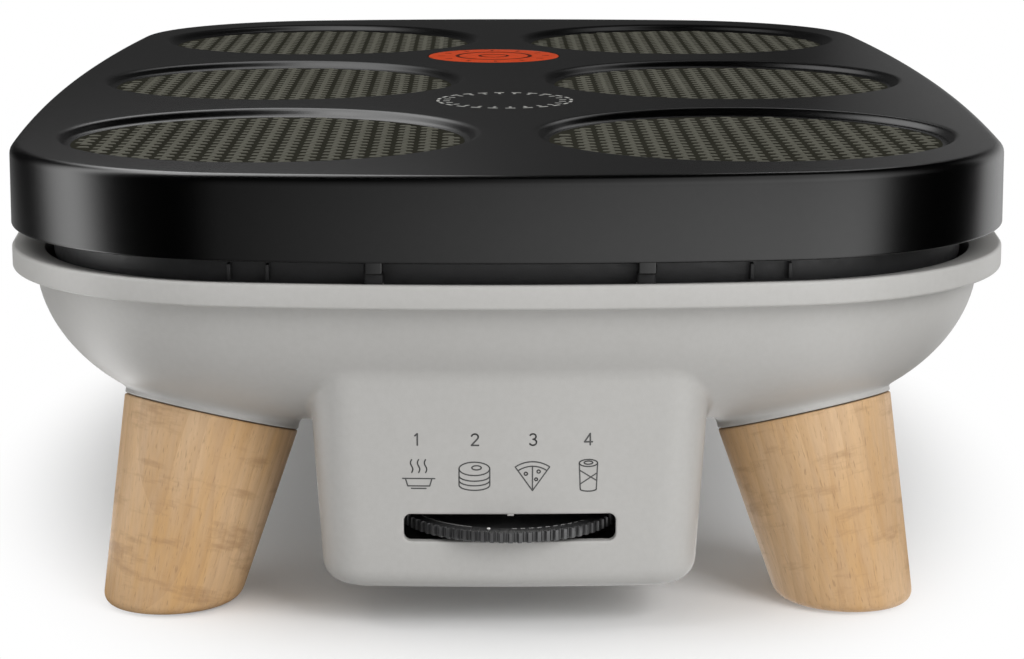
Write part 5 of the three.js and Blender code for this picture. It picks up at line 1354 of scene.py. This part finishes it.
# Soft rests: four moulded blocks of black silicone rubber that carry the loose plate. They stand on the
# rim's stubs, under the plate's lugs.
soft_rubber = grained("rest_rubber", (0.018, 0.018, 0.019), (0.03, 0.03, 0.031), (0.6, 0.72), 2600.0,
                      0.015 * mm)
for corner_name in leg_signs:
    rest_low, rest_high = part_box("plate_pad_" + corner_name)
    rest_foot = (rest_low.x, rest_low.y, stub_top + 0.02 * mm)
    add_piece("soft_rest_" + corner_name, [soft_block(rest_foot, tuple(rest_high), 0.4 * mm, 0.8 * mm)],
              soft_rubber, "base", "rubber", "plate_pad_" + corner_name)

# Cable bush: a moulded sleeve of black rubber with an open bore. It is pressed into its seat in the rear
# wall as far as its flange.
bush_length = gland_high.y - gland_low.y
bush_bore, bush_radius, flange_radius, flange_front = 3.8 * mm, 6.5 * mm, 9 * mm, bush_length - 2.5 * mm
bush_corners = [(bush_bore, 0.0, 0), (bush_bore, bush_length, 0.8 * mm),
                (flange_radius, bush_length, 0.7 * mm), (flange_radius, flange_front, 0.4 * mm),
                (bush_radius, flange_front, 0), (bush_radius, 0.0, 0.3 * mm), (bush_bore, 0.0, 0)]
bush = lathe(rounded(bush_corners, 4), (0.0, gland_low.y, gland_z), (0.0, 1.0, 0.0), 72)
add_piece("cable_bush_sleeve", [bush], rubber, "base", "gland", "cord_gland")

# Heat shield: a black pan of pressed steel that closes the top of the base. It is screwed down to four
# posts and pierced for the element's ends and the sensor; short ribs stiffen its front and rear walls.
black_steel = grained("shield_paint", (0.022, 0.022, 0.023), (0.036, 0.036, 0.037), (0.4, 0.52), 2200.0,
                      0.012 * mm)
shield_inset, shield_wall, shield_bend = 12 * mm, 1.2 * mm, 4 * mm
sensor_low, sensor_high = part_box("sensor_rod")
sensor_place = np.array([0.0, box_middle(sensor_low, sensor_high)[1]])
terminal_x, terminal_y = 40 * mm, -half_length + 77.6 * mm
terminal_hole, shield_sensor_hole, tray_sensor_hole = 6 * mm, 5.8 * mm, 8.3 * mm
terminal_holes = [((side * terminal_x, terminal_y), terminal_hole) for side in (-1, 1)]


def pierced_pan(loop, inset, floor_low, top, bend, wall, holes, middle=10 * mm):
    """A pressed pan: its wall and bends are the outline carried along a profile, its floor is filled on
    both faces with the holes left open. holes are (place, radius)."""
    inside, floor_high, lip, start = inset + wall, floor_low + wall, wall * 0.45, inset + bend + middle
    rows = loop.rows(rounded([(start, floor_low, 0), (inset, floor_low, bend), (inset, top, lip),
                              (inside, top, lip), (inside, floor_high, max(bend - wall, 0.6 * mm)),
                              (start, floor_high, 0)], 6))
    rims = [[ring_at(place, radius, height, 48) for place, radius in holes]
            for height in (floor_low, floor_high)]
    return [strip(rows), filled(rows[0], rims[0]), filled(rows[-1], rims[1]), *bores(*rims)]


pan_loop = PlanLoop(20, 32, 16)
shield_holes = [(sensor_place, shield_sensor_hole), *terminal_holes,
                *((sign * shield_post, 2 * mm) for sign in leg_signs.values())]
shield_parts = pierced_pan(pan_loop, shield_inset, shield_low.z, shield_high.z, shield_bend, shield_wall,
                           shield_holes)
rib_half, rib_reach, rib_foot, rib_top = 0.5 * mm, 2.6 * mm, shield_high.z - 5 * mm, shield_high.z - 0.6 * mm
for sign in leg_signs.values():
    for rib_x in (65.2 * mm, 75.6 * mm):
        wall_y = front_edge_y(rib_x, shield_inset)
        shield_parts.append(corner_block(sign, (rib_x - rib_half, wall_y - shield_wall / 2, rib_foot),
                                         (rib_x + rib_half, wall_y + rib_reach, rib_top), 0.2 * mm))
add_piece("pressed_heat_shield", shield_parts, black_steel, "base", "black_steel", "heat_shield")
head_height, shield_head_radius, shield_shank_radius = 2.2 * mm, 4 * mm, 1.7 * mm
for corner_name, sign in leg_signs.items():
    screw_tip, screw_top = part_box("shield_screw_" + corner_name)
    seat = (*(sign * shield_post), screw_top.z - head_height)
    screw = pan_screw(seat, (0, 0, -1), shield_head_radius, head_height, shield_shank_radius,
                      seat[2] - screw_tip.z)
    add_piece("shield_cross_screw_" + corner_name, [screw], screw_finish, "base", "steel",
              "shield_screw_" + corner_name)

# Reflector tray: bright pressed steel on four tubular posts over the shield. It throws the element's heat
# up to the plate.
bright_steel = grained("reflector_steel", (0.52, 0.52, 0.51), (0.66, 0.66, 0.65), (0.34, 0.44), 900.0,
                       0.002 * mm, 30.0, Metallic=0.75)
tray_low, tray_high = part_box("reflector_tray")
tray_inset, tray_bend, tray_wall = 20 * mm, 2 * mm, 1 * mm
tray = pierced_pan(pan_loop, tray_inset, tray_low.z, tray_high.z, tray_bend, tray_wall,
                   [(sensor_place, tray_sensor_hole), *terminal_holes])
add_piece("pressed_reflector_tray", tray, bright_steel, "base", "steel", "reflector_tray")
post_radius, post_bore, post_edge = 4 * mm, 1.8 * mm, 0.3 * mm
for corner_name in leg_signs:
    low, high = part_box("reflector_post_" + corner_name)
    post_corners = [(post_bore, low.z, 0), (post_radius, low.z, post_edge), (post_radius, high.z, post_edge),
                    (post_bore, high.z, post_edge), (post_bore, low.z, 0)]
    add_piece("tubular_post_" + corner_name, [turned(post_corners, box_middle(low, high), 40)], bright_steel,
              "base", "steel", "reflector_post_" + corner_name)

# Heating element: a steel tube with the resistance wire inside, bent in one plane round both columns of
# recesses. Its two ends drop through the tray and the shield, each with a ceramic plug and a pin.
element_low, element_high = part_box("heating_element")
element_radius = 3.5 * mm
element_z = element_high.z - element_radius
element_end_z = shield_low.z - 8.9 * mm
inner_run, outer_run = 40 * mm, half_width - 41.5 * mm
turn_radius = (outer_run - inner_run) / 2
turn_x = inner_run + turn_radius
back_turn_y = half_length - 38.6 * mm - turn_radius
front_turn_y = 42.6 * mm - half_length + turn_radius
end_bend = 10 * mm


def bow(x, y, radius, start, stop, steps):
    """A level arc of the element about its centre."""
    spokes = spokes_at(np.radians(np.linspace(start, stop, steps + 1)))
    return at_height(np.array([x, y]) + radius * spokes, element_z)


def straight(x, start, stop, count):
    """The points between the ends of one run of the element, both ends left out."""
    y = np.linspace(start, stop, count)[1:-1]
    return at_height(np.column_stack([np.full(len(y), x), y]), element_z)


def element_path():
    """The right half of the tube from its pin to the middle of the front run."""
    angle = np.radians(np.linspace(180, 90, 13))[1:]
    bend_up = np.column_stack([np.full(12, terminal_x), terminal_y + end_bend + end_bend * np.cos(angle),
                               element_z - end_bend + end_bend * np.sin(angle)])
    rise = np.array([[terminal_x, terminal_y, element_end_z], [terminal_x, terminal_y, element_z - end_bend]])
    front = bow(turn_x, front_turn_y, turn_radius, 0, -90, 20)
    middle = np.column_stack([np.linspace(turn_x, 0, 9)[1:], np.full(8, front[-1, 1]), np.full(8, element_z)])
    return np.vstack([rise, bend_up, straight(inner_run, bend_up[-1, 1], back_turn_y, 16),
                      bow(turn_x, back_turn_y, turn_radius, 180, 0, 40),
                      straight(outer_run, back_turn_y, front_turn_y, 20), front, middle])


def carried(path, side, up, section):
    """Carries a flat section along a path, path + across * side + rise * up, and closes both ends."""
    rows = path[:, None] + section[None, :, :1] * side[:, None] + section[None, :, 1:] * up[:, None]
    ends = [np.repeat(path[[i]], len(section), axis=0)[None] for i in (0, -1)]
    return strip(np.concatenate([ends[0], rows, ends[1]]))


half_path = element_path()
tube_path = np.vstack([half_path, half_path[-2::-1] * [-1, 1, 1]])
tangent = unit(np.gradient(tube_path, axis=0))
tangent[0], tangent[-1] = [0, 0, 1], [0, 0, -1]
lean = np.where(np.arange(len(tangent)) < len(half_path), 1.0, -1.0)[:, None] * [1.0, 0, 0]
tube_side = unit(np.cross(tangent, [0, 0, 1.0]) + 1e-3 * lean)
tube_circle = element_radius * spokes_at(around(20))
element_parts = [carried(tube_path, tube_side, unit(np.cross(tangent, tube_side)), tube_circle)]
plug_radius, pin_radius = 2.6 * mm, 1.6 * mm
plug_top, plug_foot = element_end_z + 1 * mm, element_end_z - 1.5 * mm
pin_corners = [(0, plug_top, 0), (plug_radius, plug_top, 0), (plug_radius, plug_foot, 0.5 * mm),
               (pin_radius, plug_foot, 0), (pin_radius, element_low.z, 0.4 * mm), (0, element_low.z, 0)]
element_parts += [turned(pin_corners, place, 32, 4) for place, _ in terminal_holes]
sheath = grained("element_sheath", (0.10, 0.098, 0.088), (0.19, 0.18, 0.155), (0.36, 0.5), 1400.0, 0.01 * mm,
                 45.0, Metallic=0.85)
add_piece("tubular_heating_element", element_parts, sheath, "base", "element_sheath", "heating_element")
clip_radius, clip_foot, clip_edge, clip_shrink = element_radius + 0.3 * mm, 1.2 * mm, 0.5 * mm, 0.94


def flat_side(points):
    """Front view without a bulge."""
    return points[:, [0, 2]]


def saddle(name):
    """A clip under one run of the element: its section, with a round groove on top, is carried along the
    run. The section's corners are drawn in over the last half millimetre at both ends."""
    low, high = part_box(name)
    half = (high.x - low.x) / 2
    groove = np.radians(np.linspace(0, -180, 19))
    section = np.vstack([[[-half, high.z], [-half, low.z], [half, low.z], [half, high.z]],
                         [0, high.z] + clip_radius * spokes_at(groove)])
    centre = np.array([0.0, low.z + clip_foot])
    loops = []
    for y, scale in ((low.y, clip_shrink), (low.y + clip_edge, 1.0), (high.y - clip_edge, 1.0),
                     (high.y, clip_shrink)):
        across, up = (centre + (section - centre) * scale).T
        loops.append(np.column_stack([((low + high) / 2).x + across, np.full(len(section), y), up]))
    return [strip(loops), filled(loops[0], [], flat=flat_side), filled(loops[-1], [], flat=flat_side)]


for name in [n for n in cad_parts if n.startswith("element_clip_")]:
    add_piece("saddle_" + name[len("element_clip_"):], saddle(name), bright_steel, "base", "steel", name)

# Sensor: a steel rod with a broad head that the plate presses down. It slides in a collar in the shield,
# over a small coil spring.
rod_radius, head_radius, head_foot = 3 * mm, 8 * mm, sensor_high.z - 3 * mm
rod_corners = [(0, sensor_low.z, 0), (rod_radius, sensor_low.z, 0.8 * mm), (rod_radius, head_foot, 0.3 * mm),
               (head_radius, head_foot, 0.5 * mm), (head_radius, sensor_high.z, 0.7 * mm),
               (0, sensor_high.z, 0)]
add_piece("headed_sensor_rod", [turned(rod_corners, sensor_place, steps=4)], bright_steel, "sensor", "steel",
          "sensor_rod")
guide_low, guide_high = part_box("sensor_guide")
collar_bore, collar_radius, collar_flange = 3.3 * mm, 5.5 * mm, 12 * mm
flange_low = shield_low.z + shield_wall + 0.3 * mm
flange_high = flange_low + 1.5 * mm
guide_corners = [(collar_bore, guide_low.z, 0), (collar_radius, guide_low.z, 0.4 * mm),
                 (collar_radius, flange_low, 0), (collar_flange, flange_low, 0.2 * mm),
                 (collar_flange, flange_high, 0.6 * mm), (collar_radius, flange_high, 0.8 * mm),
                 (collar_radius, guide_high.z, 0.5 * mm), (collar_bore, guide_high.z, 0.3 * mm),
                 (collar_bore, guide_low.z, 0)]
add_piece("flanged_sensor_guide", [turned(guide_corners, sensor_place, steps=4)], black_steel, "base",
          "black_steel", "sensor_guide")
spring_low, spring_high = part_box("sensor_spring")
spring_wire, spring_radius, spring_curls = 0.6 * mm, 5 * mm, 5
spring_angle = np.linspace(0, spring_curls * 2 * math.pi, spring_curls * 32 + 1)
spring_spokes = at_height(spokes_at(spring_angle), 0.0)
spring_path = np.array([*sensor_place, 0.0]) + spring_radius * spring_spokes
spring_path[:, 2] = np.linspace(spring_low.z + spring_wire, spring_high.z - spring_wire, len(spring_angle))
spring_up = unit(np.cross(np.gradient(spring_path, axis=0), spring_spokes))
wire_circle = tube_circle[::2] / element_radius * spring_wire
coil = carried(spring_path, spring_spokes, spring_up, wire_circle)
sensor_spring = add_piece("coiled_sensor_spring", [coil], screw_finish, "base", "steel", "sensor_spring")
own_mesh(sensor_spring)

# Works inside the base, out of sight: spindle and thermostat over the wheel, its strap and screws, terminal
# block, thermal fuse, bolts and sleeved leads. Their solids keep their shape and get the real finishes.
ceramic = grained("steatite", (0.62, 0.60, 0.55), (0.72, 0.70, 0.65), (0.4, 0.55), 1800.0, 0.01 * mm)
sleeving = grained("glass_sleeving", (0.58, 0.56, 0.50), (0.70, 0.68, 0.62), (0.6, 0.75), 3200.0, 0.02 * mm)
earth_sleeving = grained("earth_sleeving", (0.16, 0.32, 0.05), (0.55, 0.50, 0.04), (0.5, 0.62), 900.0,
                         0.01 * mm)
inner_finishes = {screw_finish: ["wheel_spindle", "strap_screw_left", "strap_screw_right",
                                 *("leg_bolt_" + corner_name for corner_name in leg_signs)],
                  ceramic: ["thermostat_body", "terminal_block"],
                  bright_steel: ["thermostat_strap", "thermal_fuse"],
                  sleeving: ["lead_live", "lead_neutral", "lead_return", "lead_switched"],
                  earth_sleeving: ["lead_earth"]}
for finish, names in inner_finishes.items():
    for name in names:
        for slot in bpy.data.objects[name].material_slots:
            slot.material = finish
